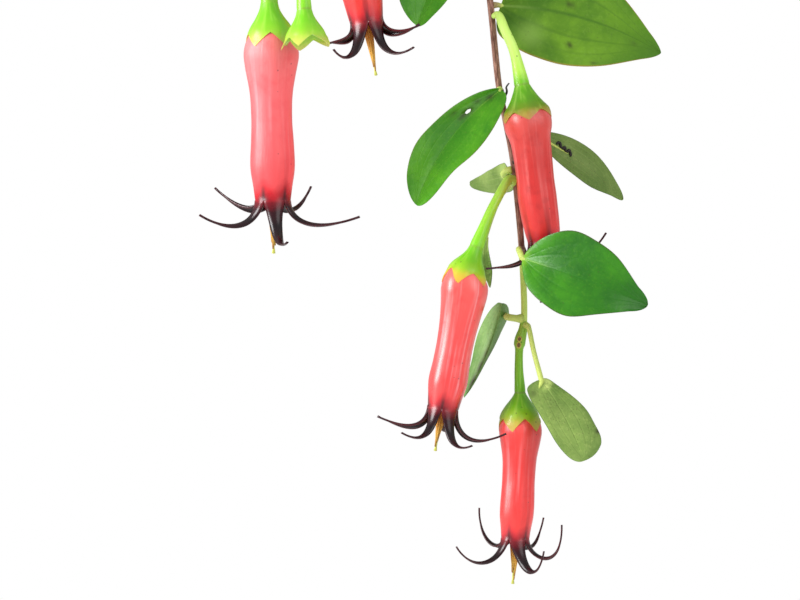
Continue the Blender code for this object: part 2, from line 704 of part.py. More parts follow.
# Each flower: the points of its stalk, the middle of its rim, the points of its tube, its scale, the
# reach of its stamens, and its lobes as an azimuth and three pulls (outward, upward) from the throat.
FLOWERS = {
    "a": dict(
        stalk=((25.6, -154, -482.6), (28.6, -155.4, -487.2), (30.8, -156.4, -493), (32.4, -157.2, -500.6)),
        rim=(34.1, -157.5, -510.7),
        tube=((35.4, -157, -519.8), (37.0, -155.5, -533.2), (39.0, -153.8, -546.0)),
        scale=1.02, stamens=11,
        lobes=((20, (5, -4), (12, -5), (17.8, 4.3)), (110, (5, -5), (11, -5), (15, 2)),
               (205, (5, -4.4), (10, -5.0), (17.6, -5.4)), (262, (4.6, -8), (6, -13), (8.5, -14.3)),
               (310, (4.8, -6), (8, -8), (10.5, -6)))),
    "b": dict(
        stalk=((29.0, -152.2, -529), (26.1, -153.5, -534.4), (24.2, -154.2, -538.5), (20.6, -155.5, -546.2)),
        rim=(17.7, -156, -553.8), tube=((16.9, -156, -560), (14.3, -156, -574), (11.5, -156, -589)),
        scale=1.0, stamens=11.3,
        lobes=((352, (4.6, -7), (8, -11), (17, -6.5)), (80, (4.6, -6), (9, -8), (14, -3)),
               (187, (5.0, -6.0), (10, -5.8), (17.6, -2.2)), (228, (4.8, -8.5), (9, -9.5), (16, -6.8)),
               (297, (4.5, -9), (7.5, -12), (16, -10.3)))),
    "c": dict(
        stalk=((33.3, -150, -568.5), (32.2, -150, -574), (32.3, -150, -579), (32.4, -150, -585)),
        rim=(32.4, -150, -592.4), tube=((32.4, -150, -598), (32.0, -150, -608), (31.1, -150, -624.3)),
        scale=0.91, stamens=12,
        lobes=((50, (5.5, -3), (11.5, -2), (12.2, 5.7)), (140, (6, -4), (13, -1), (12.9, 8.6)),
               (197, (4.6, -6), (12, -9.5), (16.5, -2.4)), (300, (4.6, -9), (12, -14), (17, -3.8)),
               (340, (4.8, -5), (14, -9.5), (13.2, 3.2)))),
    "d": dict(
        stalk=((-31.5, -187.5, -463.5), (-33.0, -191, -469), (-33.4, -193.5, -476), (-33.5, -195, -484.5)),
        rim=(-33.1, -195, -493.0), tube=((-33.1, -195, -503), (-32.8, -195, -519), (-32.6, -195, -534.4)),
        scale=1.13, stamens=13.3,
        lobes=((55, (6, -3), (12, -2), (16, 4.1)), (150, (6, -3), (12, -1), (17.4, 3.6)),
               (190, (5.5, -6), (11, -8.5), (18.8, -3.6)), (284, (5, -10), (8, -13), (17, -10.8)),
               (345, (5.5, -5.5), (12, -8), (23, -4.1)))),
    "f": dict(
        stalk=((-20.2, -168, -429.5), (-18.6, -166.5, -435.4), (-17.4, -166, -440), (-16.2, -166, -443.3)),
        rim=(-15.3, -166, -449.1), tube=((-13.9, -166, -459), (-10.9, -166, -474), (-8.8, -166, -486.3)),
        scale=1.06, stamens=14,
        lobes=((345, (5.5, -2), (9, -4), (14.5, -0.8)), (90, (5, -3), (10, -3), (14, 2)),
               (200, (5, -5), (8, -5), (11, -5.8)), (236, (4.8, -10), (10, -12), (15, -8)),
               (320, (4.8, -8), (9, -10.5), (16, -7.2)))),
}
SPENT_CALYX = dict(
    stalk=((-26, -184, -455), (-24.6, -194, -461), (-24.4, -202, -470), (-24.6, -206, -480)),
    rim=(-23.6, -207.5, -494.5), end=(-23.2, -207.5, -498),
)

# Free stems: azimuth, height over the rim, reach, end height, sideways drift, leaf count.
FREE_STEMS = (
    (12, 38, 178, -492, 6, 11), (45, 30, 150, -424, -8, 9), (78, 42, 142, -420, 5, 9),
    (130, 34, 150, -418, -6, 9), (157, 28, 154, -424, 8, 9), (182, 40, 182, -520, -5, 12),
    (209, 30, 150, -430, 4, 9), (300, 26, 136, -428, 5, 9), (326, 34, 152, -436, 6, 9),
)

# Flowers on the free stems: the stem's number, and the share of its length where the stalk sits.
FREE_FLOWERS = ((1, 0.80), (2, 0.70), (4, 0.68), (6, 0.80), (8, 0.66), (9, 0.66))


def flower_route(stem, radii, stalk, rest, first_lobe):
    seat, away = seat_on(stem, radii, stalk[0])
    return Route([seat, seat + away * 2 * MM, *stalk[1:], *rest], hint=polar(first_lobe + 18))


def make_placed_flower(label, stem, paints):
    flower = FLOWERS[label]
    rest = [mm(flower["rim"]), *(mm(place) for place in flower["tube"])]
    stalk = [mm(place) for place in flower["stalk"]]
    route = flower_route(stem, FRONT_STEM_RADII, stalk, rest, flower["lobes"][0][0])
    place = nearest_on(route, rest[0])
    scale = flower["scale"]
    make_calyx(f"calyx_{label}", route, place, scale, paints["calyx"])
    make_corolla(f"corolla_{label}", route, place, scale, flower["lobes"], paints["coral"], COROLLA_PROFILE)
    make_stamens(f"stamens_{label}", route, scale, flower["stamens"] * MM, paints["gold"])


def make_free_flower(number, stem, share, paints):
    """A flower that hangs a little outside its stem."""
    rng = random.Random(400 + number)
    point, _, _, _ = stem.frame(stem.length * share)
    out = Vector((point.x, point.y, 0)).normalized()
    side = Vector((-out.y, out.x, 0)) * rng.uniform(-3, 3) * MM
    seat, away = seat_on(stem, FREE_STEM_RADII, point + out * 5 * MM)
    down = Vector((0, 0, -1))
    elbow = seat + out * 9 * MM + down * 4 * MM
    rim = seat + out * 17 * MM + side + down * 25 * MM
    throat = seat + out * 19 * MM + side * 2 + down * 61 * MM
    first = math.degrees(math.atan2(out.y, out.x)) + rng.uniform(10, 60)
    middle = elbow.lerp(rim, 0.5) + out * 1.5 * MM
    points = [seat, seat + away * 2 * MM, elbow, middle, rim, rim.lerp(throat, 0.5), throat]
    route = Route(points, hint=polar(first + 18))
    lobes = []
    for count in range(5):
        reach = rng.uniform(13, 17)
        lobes.append((first + 72 * count, (4.8, -6), (reach * 0.65, -9), (reach, rng.uniform(-6, 1))))
    place = nearest_on(route, rim)
    scale = rng.uniform(0.94, 1.04)
    make_calyx(f"calyx_free_{number}", route, place, scale, paints["calyx"])
    make_corolla(f"corolla_free_{number}", route, place, scale, lobes, paints["coral"], PLAIN_PROFILE)


def make_spent_calyx(stem, material):
    """A cup that has dropped its corolla, and hangs open."""
    rim = mm(SPENT_CALYX["rim"])
    stalk = [mm(place) for place in SPENT_CALYX["stalk"]]
    route = flower_route(stem, FRONT_STEM_RADII, stalk, [rim, mm(SPENT_CALYX["end"])], 18)
    make_calyx("spent_calyx", route, nearest_on(route, rim), 0.98, material)


def make_plant(paints):
    make_crown(paints["bark"])
    front = stem_route(281, 36 * MM, [mm(place) for place in FRONT_STEM])
    leafy_stem("front_stem", front, FRONT_STEM_RADII, spaced(62, 168, 6), 71, paints["bark"], pointed=False)
    for name, (places, leaf) in FRONT_LEAVES.items():
        paint = {"leaf_e": "deep", "leaf_c": "under", "leaf_d": "under", "leaf_g": "under"}.get(name, "leaf")
        make_leaf(name, front, FRONT_STEM_RADII, [mm(place) for place in places],
                  placed_leaf(**leaf), paints[paint])
    for label in "abc":
        make_placed_flower(label, front, paints)
    left = stem_route(257, 34 * MM, [mm(place) for place in LEFT_STEM])
    leafy_stem("left_stem", left, FRONT_STEM_RADII, spaced(60, 150, 5), 72, paints["bark"], pointed=False)
    for label in "df":
        make_placed_flower(label, left, paints)
    make_spent_calyx(left, paints["calyx"])
    routes = []
    for number, (azimuth, over, reach, end, drift, count) in enumerate(FREE_STEMS, 1):
        trail = trailing_points(azimuth, over * MM, reach * MM, end * MM, drift * MM)
        route = stem_route(azimuth, over * MM, trail)
        routes.append(route)
        places = spaced(58, route.length / MM - 9, count)
        leafy_stem(f"leafy_stem_{number}", route, FREE_STEM_RADII, places, 80 + number, paints["leaf"])
    for number, (stem, share) in enumerate(FREE_FLOWERS, 1):
        make_free_flower(number, routes[stem - 1], share, paints)


def make_holder(paints):
    make_hook(paints["wire"])
    for number, azimuth in enumerate(HANGER_AZIMUTHS, 1):
        make_hanger_wire(number, azimuth, paints["wire"])
    make_frame(paints["wire"])
    turned("coir_liner", liner_outside() + liner_inside(), BOWL_SIDES, paints["coir"])
    make_soil(paints["soil"])


def make_paints():
    return {
        "wire": make_material("black_wire", BLACK_WIRE, 0.35, 0.6),
        "coir": make_material("coir", COIR, 0.95),
        "soil": make_material("potting_mix", SOIL, 0.95),
        "bark": make_material("bark", BARK, 0.7),
        "leaf": make_material("leaf_upper", LEAF_GREEN, 0.35),
        "deep": make_material("leaf_deep", LEAF_DEEP, 0.25),
        "under": make_material("leaf_underside", LEAF_UNDER, 0.5),
        "calyx": make_material("calyx_green", CALYX_GREEN, 0.4),
        "coral": make_material("coral_corolla", CORAL, 0.3),
        "gold": make_material("stamen_gold", STAMEN_GOLD, 0.6),
    }


clear_scene()
origin = bpy.data.objects.new("basket_origin", None)
bpy.context.scene.collection.objects.link(origin)
paints = make_paints()
make_holder(paints)
make_plant(paints)
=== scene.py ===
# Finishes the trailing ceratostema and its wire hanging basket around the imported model.
# Metres, +Z up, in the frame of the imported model. Lists of places are in millimetres, and mm() turns them
# into metres. Colours are given as they look on a screen, and tint() turns them into light.

import json
import math
import random
from bisect import bisect_left

import bpy
from mathutils import Matrix, Vector, noise

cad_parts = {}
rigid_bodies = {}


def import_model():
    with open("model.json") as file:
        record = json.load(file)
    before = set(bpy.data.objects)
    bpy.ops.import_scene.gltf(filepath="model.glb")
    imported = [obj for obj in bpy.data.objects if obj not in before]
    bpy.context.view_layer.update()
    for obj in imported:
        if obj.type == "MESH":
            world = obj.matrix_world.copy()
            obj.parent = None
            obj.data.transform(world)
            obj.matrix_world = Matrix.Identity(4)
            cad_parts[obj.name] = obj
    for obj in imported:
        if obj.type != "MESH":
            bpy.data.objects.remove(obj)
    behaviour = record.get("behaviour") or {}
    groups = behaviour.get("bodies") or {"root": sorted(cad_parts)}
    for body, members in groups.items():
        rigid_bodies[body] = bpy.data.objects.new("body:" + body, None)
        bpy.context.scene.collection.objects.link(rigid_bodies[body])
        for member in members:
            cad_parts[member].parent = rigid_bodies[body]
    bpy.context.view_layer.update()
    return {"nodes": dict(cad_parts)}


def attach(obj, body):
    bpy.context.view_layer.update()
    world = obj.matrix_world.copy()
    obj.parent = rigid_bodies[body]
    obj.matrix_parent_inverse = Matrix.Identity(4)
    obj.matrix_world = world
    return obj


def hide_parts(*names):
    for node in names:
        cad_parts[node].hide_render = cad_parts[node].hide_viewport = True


for thing in list(bpy.data.objects):
    bpy.data.objects.remove(thing, do_unlink=True)

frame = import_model()
scene = bpy.context.scene
print("frame loaded:", len(frame["nodes"]), "nodes")

unit = 0.001


def mm(place):
    return Vector(place) * unit


def polar(azimuth, radius=1.0, height=0.0):
    turn = math.radians(azimuth)
    return Vector((math.cos(turn) * radius, math.sin(turn) * radius, height))


def aroundAxis(across, up, turn):
    return across * math.cos(turn) + up * math.sin(turn)


def mix(first, second, share):
    return first + (second - first) * share


def easeIn(value, low, high):
    share = min(max((value - low) / (high - low), 0.0), 1.0)
    return share * share * (3 - 2 * share)


def smoothValue(pairs, place):
    # A smooth line through (place, value) pairs, level beyond both ends.
    if place <= pairs[0][0]:
        return pairs[0][1]
    if place >= pairs[-1][0]:
        return pairs[-1][1]
    after = next(index for index in range(1, len(pairs)) if place <= pairs[index][0])
    near = pairs[after - 1:after + 1]
    (startPlace, start), (endPlace, end) = near
    before = pairs[max(after - 2, 0)]
    beyond = pairs[min(after + 1, len(pairs) - 1)]
    span = endPlace - startPlace
    startSlope = (end - before[1]) / (endPlace - before[0]) * span
    endSlope = (beyond[1] - start) / (beyond[0] - startPlace) * span
    t = (place - startPlace) / span
    value = start * (1 - 3 * t**2 + 2 * t**3) + startSlope * (t - 2 * t**2 + t**3)
    return value + end * (3 * t**2 - 2 * t**3) + endSlope * (t**3 - t**2)


class Path:
    # A smooth curve through placed points, read by distance. Its cross directions turn least.

    def __init__(self, points, hint=(1, 0, 0), spanSteps=16):
        ends = [points[0] * 2 - points[1], *points, points[-1] * 2 - points[-2]]
        self.points = [points[0].copy()]
        for before, start, end, after in zip(ends, ends[1:], ends[2:], ends[3:]):
            for step in range(1, spanSteps + 1):
                t = step / spanSteps
                bend = before * (-t + 2 * t**2 - t**3) + start * (2 - 5 * t**2 + 3 * t**3)
                bend += end * (t + 4 * t**2 - 3 * t**3) + after * (-t**2 + t**3)
                self.points.append(bend / 2)
        self.places = [0.0]
        for start, end in zip(self.points, self.points[1:]):
            self.places.append(self.places[-1] + (end - start).length)
        self.length = self.places[-1]
        self.ways = []
        for index in range(len(self.points)):
            before = self.points[max(index - 1, 0)]
            after = self.points[min(index + 1, len(self.points) - 1)]
            self.ways.append((after - before).normalized())
        across = Vector(hint)
        self.across = [across] * len(self.points)
        for index in reversed(range(len(self.points))):
            across = (across - self.ways[index] * across.dot(self.ways[index])).normalized()
            self.across[index] = across

    def frame(self, place):
        # The point, the way along, and the two ways across, at this distance.
        after = min(max(bisect_left(self.places, place), 1), len(self.places) - 1)
        before = after - 1
        share = (place - self.places[before]) / (self.places[after] - self.places[before])
        point = self.points[before].lerp(self.points[after], share)
        share = min(max(share, 0.0), 1.0)
        along = self.ways[before].lerp(self.ways[after], share).normalized()
        across = self.across[before].lerp(self.across[after], share)
        across = (across - along * across.dot(along)).normalized()
        return point, along, across, along.cross(across)

    def nearest(self, point):
        return min(self.places, key=lambda place: (self.frame(place)[0] - point).length)


class Shape:
    # The points and faces of one piece, with three painted values at each point that its finish reads.

    def __init__(self):
        self.points = []
        self.values = []
        self.faces = []
        self.finishes = []

    def addPoint(self, point, along=0.0, across=0.0, mark=0.0):
        self.points.append(tuple(point))
        self.values.append((along, across, mark))
        return len(self.points) - 1

    def addFace(self, corners, finish=0):
        self.faces.append(tuple(corners))
        self.finishes.append(finish)

    def addWalls(self, rows, around=True):
        for lower, upper in zip(rows, rows[1:]):
            count = len(lower)
            for index in range(count if around else count - 1):
                after = (index + 1) % count
                self.addFace((lower[index], lower[after], upper[after], upper[index]))

    def addFan(self, row, tip):
        for index in range(len(row)):
            self.addFace((row[index], row[(index + 1) % len(row)], tip))

    def addTube(self, path, stations, sides, markOf=None):
        # stations are (distance, radius) pairs, and markOf gives the mark at a distance. Both ends close.
        rows = []
        for place, radius in stations:
            point, _, across, up = path.frame(place)
            share = place / path.length
            mark = markOf(place) if markOf else 0.0
            row = []
            for index in range(sides):
                turn = 2 * math.pi * index / sides
                outward = aroundAxis(across, up, turn)
                row.append(self.addPoint(point + outward * radius, share, index / sides, mark))
            rows.append(row)
        self.addWalls(rows)
        self.addFace(reversed(rows[0]))
        self.addFace(rows[-1])

    def makePiece(self, name, materials, replaced, sharp=None):
        mesh = bpy.data.meshes.new(name)
        mesh.from_pydata(self.points, [], self.faces)
        for number, label in enumerate(("along", "across", "mark")):
            layer = mesh.attributes.new(label, "FLOAT", "POINT")
            layer.data.foreach_set("value", [values[number] for values in self.values])
        for material in materials:
            mesh.materials.append(material)
        mesh.polygons.foreach_set("material_index", self.finishes)
        mesh.shade_smooth()
        if sharp:
            mesh.set_sharp_from_angle(angle=math.radians(sharp))
        piece = bpy.data.objects.new(name, mesh)
        scene.collection.objects.link(piece)
        if replaced:
            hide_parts(*replaced)
        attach(piece, "root")
        return piece


# Nodes for the finishes.


def tint(colour):
    # From screen values of 0 to 255 to the amounts of light that the nodes take.
    shares = [part / 255 for part in colour]
    return tuple(share / 12.92 if share < 0.04 else ((share + 0.055) / 1.055) ** 2.4 for share in shares)


def feed(tree, socket, value):
    if isinstance(value, bpy.types.NodeSocket):
        tree.links.new(value, socket)
    elif isinstance(value, tuple) and len(value) == 3 and socket.type == "RGBA":
        socket.default_value = (*tint(value), 1.0)
    else:
        socket.default_value = value


def put(tree, kind, inputs=None, **settings):
    made = tree.nodes.new(kind)
    for name, value in settings.items():
        setattr(made, name, value)
    for name, value in (inputs or {}).items():
        feed(tree, made.inputs[name], value)
    return made


def calc(tree, operation, *values):
    made = put(tree, "ShaderNodeMath", operation=operation)
    for socket, value in zip(made.inputs, values):
        feed(tree, socket, value)
    return made.outputs[0]


def times(tree, first, second):
    return calc(tree, "MULTIPLY", first, second)


def remap(tree, value, low, high, toLow=0.0, toHigh=1.0):
    # toLow at low, toHigh at high, and an eased change between them.
    inputs = {"Value": value, "From Min": low, "From Max": high, "To Min": toLow, "To Max": toHigh}
    return put(tree, "ShaderNodeMapRange", inputs, interpolation_type="SMOOTHSTEP").outputs["Result"]


def blend(tree, share, first, second):
    made = put(tree, "ShaderNodeMix", data_type="RGBA")
    for socket, value in ((made.inputs[0], share), (made.inputs[6], first), (made.inputs[7], second)):
        feed(tree, socket, value)
    return made.outputs[2]


def ramp(tree, value, stops):
    made = put(tree, "ShaderNodeValToRGB", {"Fac": value})
    band = made.color_ramp
    while len(band.elements) < len(stops):
        band.elements.new(1.0)
    for element, (place, colour) in zip(band.elements, stops):
        element.position = place
        element.color = (*tint(colour), 1.0)
    return made.outputs["Color"]


def painted(tree, label):
    return put(tree, "ShaderNodeAttribute", attribute_name=label).outputs["Fac"]


def objectPlace(tree):
    return put(tree, "ShaderNodeTexCoord").outputs["Object"]


def noiseValue(tree, place, scale, detail, distortion=0.0):
    inputs = {"Vector": place, "Scale": scale, "Detail": detail, "Distortion": distortion}
    return put(tree, "ShaderNodeTexNoise", inputs).outputs["Fac"]


def edgeMiss(tree, place, scale):
    # How far a place is from the borders of a net of cells.
    inputs = {"Vector": place, "Scale": scale}
    return put(tree, "ShaderNodeTexVoronoi", inputs, feature="DISTANCE_TO_EDGE").outputs["Distance"]


def newGroup(name, inputs, outputs):
    # Sockets by name, each with its kind, or with the number that a plain value starts from.
    group = bpy.data.node_groups.new(name, "ShaderNodeTree")
    for way, sockets in (("INPUT", inputs), ("OUTPUT", outputs)):
        for label, given in sockets.items():
            kind = given if isinstance(given, str) else "Float"
            socket = group.interface.new_socket(label, in_out=way, socket_type="NodeSocket" + kind)
            if given != kind:
                socket.default_value = given
    return group, group.nodes.new("NodeGroupInput"), group.nodes.new("NodeGroupOutput")


def makeMottleGroup():
    # Soft patches between two colours.
    inputs = {"Place": "Vector", "Scale": 60.0, "Dark": "Color", "Light": "Color"}
    group, given, result = newGroup("mottle", inputs, {"Color": "Color", "Value": "Float"})
    coarse = noiseValue(group, given.outputs["Place"], given.outputs["Scale"], 4.0, 0.4)
    value = remap(group, coarse, 0.32, 0.68)
    colour = blend(group, value, given.outputs["Dark"], given.outputs["Light"])
    group.links.new(colour, result.inputs["Color"])
    group.links.new(value, result.inputs["Value"])
    return group


def makeSpeckGroup():
    # Scattered small dots, 1 on a dot and 0 between them.
    inputs = {"Place": "Vector", "Scale": 700.0, "Size": 0.25, "Share": 0.5}
    group, given, result = newGroup("specks", inputs, {"Mask": "Float"})
    inputs = {"Vector": given.outputs["Place"], "Scale": given.outputs["Scale"], "Randomness": 1.0}
    cells = put(group, "ShaderNodeTexVoronoi", inputs)
    dot = calc(group, "LESS_THAN", cells.outputs["Distance"], given.outputs["Size"])
    chosen = put(group, "ShaderNodeSeparateColor", {"Color": cells.outputs["Color"]}).outputs[0]
    kept = calc(group, "LESS_THAN", chosen, given.outputs["Share"])
    group.links.new(times(group, dot, kept), result.inputs["Mask"])
    return group


def makeVeinGroup():
    # A midrib and two pairs of side veins that arch from the leaf's base to its tip.
    inputs = {"Along": 0.0, "Across": 0.0, "Spread": 0.42, "Width": 0.05}
    group, given, result = newGroup("veins", inputs, {"Vein": "Float", "Midrib": "Float"})
    along = given.outputs["Along"]
    aside = calc(group, "ABSOLUTE", given.outputs["Across"])
    fromTip = calc(group, "SUBTRACT", 1.0, along)
    arch = calc(group, "SQRT", times(group, times(group, along, fromTip), 4.0))
    width = times(group, given.outputs["Width"], calc(group, "SUBTRACT", 1.35, along))
    midrib = remap(group, aside, 0.0, width, 1.0, 0.0)
    strongest = midrib
    for factor, strength in ((1.0, 0.6), (1.75, 0.4)):
        line = times(group, times(group, arch, given.outputs["Spread"]), factor)
        miss = calc(group, "ABSOLUTE", calc(group, "SUBTRACT", aside, line))
        side = remap(group, miss, 0.0, width, strength, 0.0)
        strongest = calc(group, "MAXIMUM", strongest, side)
    group.links.new(strongest, result.inputs["Vein"])
    group.links.new(midrib, result.inputs["Midrib"])
    return group


def makeStreakGroup():
    # Streaks that run along a stem or a tube, from its painted values.
    inputs = {"Along": 0.0, "Across": 0.0, "Stretch": 1.0, "Scale": 4.0}
    group, given, result = newGroup("streaks", inputs, {"Value": "Float"})
    turn = times(group, given.outputs["Across"], 2 * math.pi)
    place = put(group, "ShaderNodeCombineXYZ")
    group.links.new(calc(group, "COSINE", turn), place.inputs["X"])
    group.links.new(calc(group, "SINE", turn), place.inputs["Y"])
    group.links.new(times(group, given.outputs["Along"], given.outputs["Stretch"]), place.inputs["Z"])
    value = noiseValue(group, place.outputs[0], given.outputs["Scale"], 4.0)
    group.links.new(value, result.inputs["Value"])
    return group


mottleGroup = makeMottleGroup()
speckGroup = makeSpeckGroup()
veinGroup = makeVeinGroup()
streakGroup = makeStreakGroup()


def fillGroup(tree, group, inputs):
    made = put(tree, "ShaderNodeGroup", node_tree=group)
    for name, value in inputs.items():
        feed(tree, made.inputs[name], value)
    return made


def speckMask(tree, place, scale, size, share):
    inputs = {"Place": place, "Scale": scale, "Size": size, "Share": share}
    return fillGroup(tree, speckGroup, inputs).outputs["Mask"]


def streakValue(tree, along, across, stretch, scale):
    inputs = {"Along": along, "Across": across, "Stretch": stretch, "Scale": scale}
    return fillGroup(tree, streakGroup, inputs).outputs["Value"]


def newFinish(name):
    material = bpy.data.materials.new(name)
    material.use_nodes = True
    tree = material.node_tree
    return material, tree, tree.nodes["Principled BSDF"]


def dress(tree, shader, inputs):
    for name, value in inputs.items():
        feed(tree, shader.inputs[name], value)


def addBump(tree, shader, height, strength, distance):
    inputs = {"Height": height, "Strength": strength, "Distance": distance * unit}
    dress(tree, shader, {"Normal": put(tree, "ShaderNodeBump", inputs).outputs["Normal"]})


leafLooks = {
    "leafUpper": {
        "dark": (62, 108, 8), "light": (110, 156, 30), "vein": (44, 88, 8), "pale": (150, 190, 84),
        "veins": 0.55, "shade": 0.9, "edge": (150, 126, 50), "rough": 0.5, "coat": 0.0, "specks": 0.10,
        "grain": 0.12,
    },
    "leafFresh": {
        "dark": (46, 122, 0), "light": (84, 158, 14), "vein": (92, 160, 30), "pale": (150, 200, 70),
        "veins": 0.3, "shade": 0.1, "edge": (96, 120, 30), "rough": 0.42, "coat": 0.06, "specks": 0.03,
        "grain": 0.1,
    },
    "leafDeep": {
        "dark": (22, 96, 0), "light": (62, 140, 14), "vein": (34, 112, 10), "pale": (140, 198, 50),
        "veins": 0.35, "shade": 0.7, "edge": (60, 84, 24), "rough": 0.38, "coat": 0.12, "specks": 0.02,
        "grain": 0.08,
    },
    "leafUnder": {
        "dark": (92, 126, 50), "light": (136, 164, 78), "vein": (140, 168, 84), "pale": (196, 214, 122),
        "veins": 0.12, "shade": 0.1, "edge": (60, 100, 26), "rough": 0.55, "coat": 0.0, "specks": 0.45,
        "grain": 0.2,
    },
    "leafFold": {
        "dark": (86, 128, 58), "light": (122, 162, 86), "vein": (112, 152, 74), "pale": (170, 202, 116),
        "veins": 0.3, "shade": 0.1, "edge": (110, 160, 60), "rough": 0.5, "coat": 0.0, "specks": 0.2,
        "grain": 0.2,
    },
    "leafGrey": {
        "dark": (88, 116, 46), "light": (122, 146, 72), "vein": (136, 158, 86), "pale": (150, 172, 94),
        "veins": 0.5, "shade": 0.1, "edge": (50, 66, 30), "rough": 0.55, "coat": 0.0, "specks": 0.35,
        "grain": 0.18,
    },
}


def makeLeafFinish(name):
    # along runs from the leaf's base to its tip, and across between its margins. mark paints brown spots
    # and pale patches, and on leaves A and F painted light and painted shade.
    looks = leafLooks[name]
    rough = looks["rough"]
    material, tree, shader = newFinish(name)
    place = objectPlace(tree)
    along, across, mark = (painted(tree, label) for label in ("along", "across", "mark"))
    patches = {"Place": place, "Scale": 70.0, "Dark": looks["dark"], "Light": looks["light"]}
    mottle = fillGroup(tree, mottleGroup, patches)
    grain = noiseValue(tree, place, 1300.0, 3.0)
    grainShare = remap(tree, grain, 0.5, 0.75, 0.0, looks["grain"])
    colour = blend(tree, grainShare, mottle.outputs["Color"], looks["pale"])
    veins = fillGroup(tree, veinGroup, {"Along": along, "Across": across, "Spread": 0.42, "Width": 0.06})
    colour = blend(tree, times(tree, veins.outputs["Vein"], looks["veins"]), colour, looks["vein"])
    net = remap(tree, edgeMiss(tree, place, 330.0), 0.0, 0.22, 1.0, 0.0)
    colour = blend(tree, times(tree, net, 0.16), colour, looks["dark"])
    nearBase = remap(tree, along, 0.0, 0.3)
    ribShare = times(tree, veins.outputs["Midrib"], calc(tree, "SUBTRACT", 1.0, nearBase))
    colour = blend(tree, times(tree, ribShare, 0.5), colour, looks["pale"])
    # Marks under 0 paint pale patches; one of them, on leaf A, is painted light over a cast shadow.
    colour = blend(tree, remap(tree, mark, -0.8, 0.0, 0.8, 0.0), colour, looks["pale"])
    specks = speckMask(tree, place, 1300.0, 0.24, looks["specks"])
    colour = blend(tree, times(tree, specks, 0.35), colour, (70, 62, 34))
    # Painted shade: by each look's shade the blade darkens from its middle to its tip, where a leaf curves
    # away from the light.
    colour = blend(tree, remap(tree, along, 0.45, 1.0, 0.0, looks["shade"]), colour, looks["dark"])
    edge = remap(tree, calc(tree, "ABSOLUTE", across), 0.955, 0.995, 0.0, 0.85)
    colour = blend(tree, edge, colour, looks["edge"])
    dress(tree, shader, {
        # Marks over 0 paint brown spots, and on leaf F painted shade along its fold.
        "Base Color": blend(tree, mark, colour, (38, 24, 14)),
        "Roughness": remap(tree, mottle.outputs["Value"], 0.0, 1.0, rough + 0.06, rough - 0.04),
        "Specular IOR Level": 0.3, "Coat Weight": looks["coat"], "Coat Roughness": 0.3,
    })
    height = calc(tree, "SUBTRACT", times(tree, grain, 0.3), times(tree, veins.outputs["Vein"], 0.8))
    addBump(tree, shader, calc(tree, "SUBTRACT", height, times(tree, net, 0.3)), 0.6, 0.16)
    return material


corollaLooks = {
    "corollaDull": {
        "top": (214, 84, 78), "bulge": (212, 60, 54), "middle": (204, 38, 34), "low": (224, 46, 44),
        "deep": (176, 22, 24), "streak": (240, 122, 118), "streaks": 0.5, "seams": 0.45, "coat": 0.5,
    },
    "corollaPink": {
        "top": (248, 106, 100), "bulge": (246, 80, 76), "middle": (244, 70, 68), "low": (242, 64, 64),
        "deep": (228, 36, 38), "streak": (255, 168, 172), "streaks": 0.6, "seams": 0.3, "coat": 0.9,
    },
    # Painted highlight: flower D's paler body colours stand in for a soft, broad sheen on its tube, which
    # has almost no coat.
    "corollaPaintedSheen": {
        "top": (248, 126, 126), "bulge": (248, 112, 114), "middle": (248, 100, 104), "low": (244, 78, 82),
        "deep": (238, 74, 80), "streak": (255, 160, 166), "streaks": 0.3, "seams": 0.2, "coat": 0.1,
    },
    "corollaRed": {
        "top": (246, 84, 80), "bulge": (244, 58, 54), "middle": (240, 44, 42), "low": (240, 50, 48),
        "deep": (220, 22, 24), "streak": (255, 140, 142), "streaks": 0.5, "seams": 0.35, "coat": 0.8,
    },
}


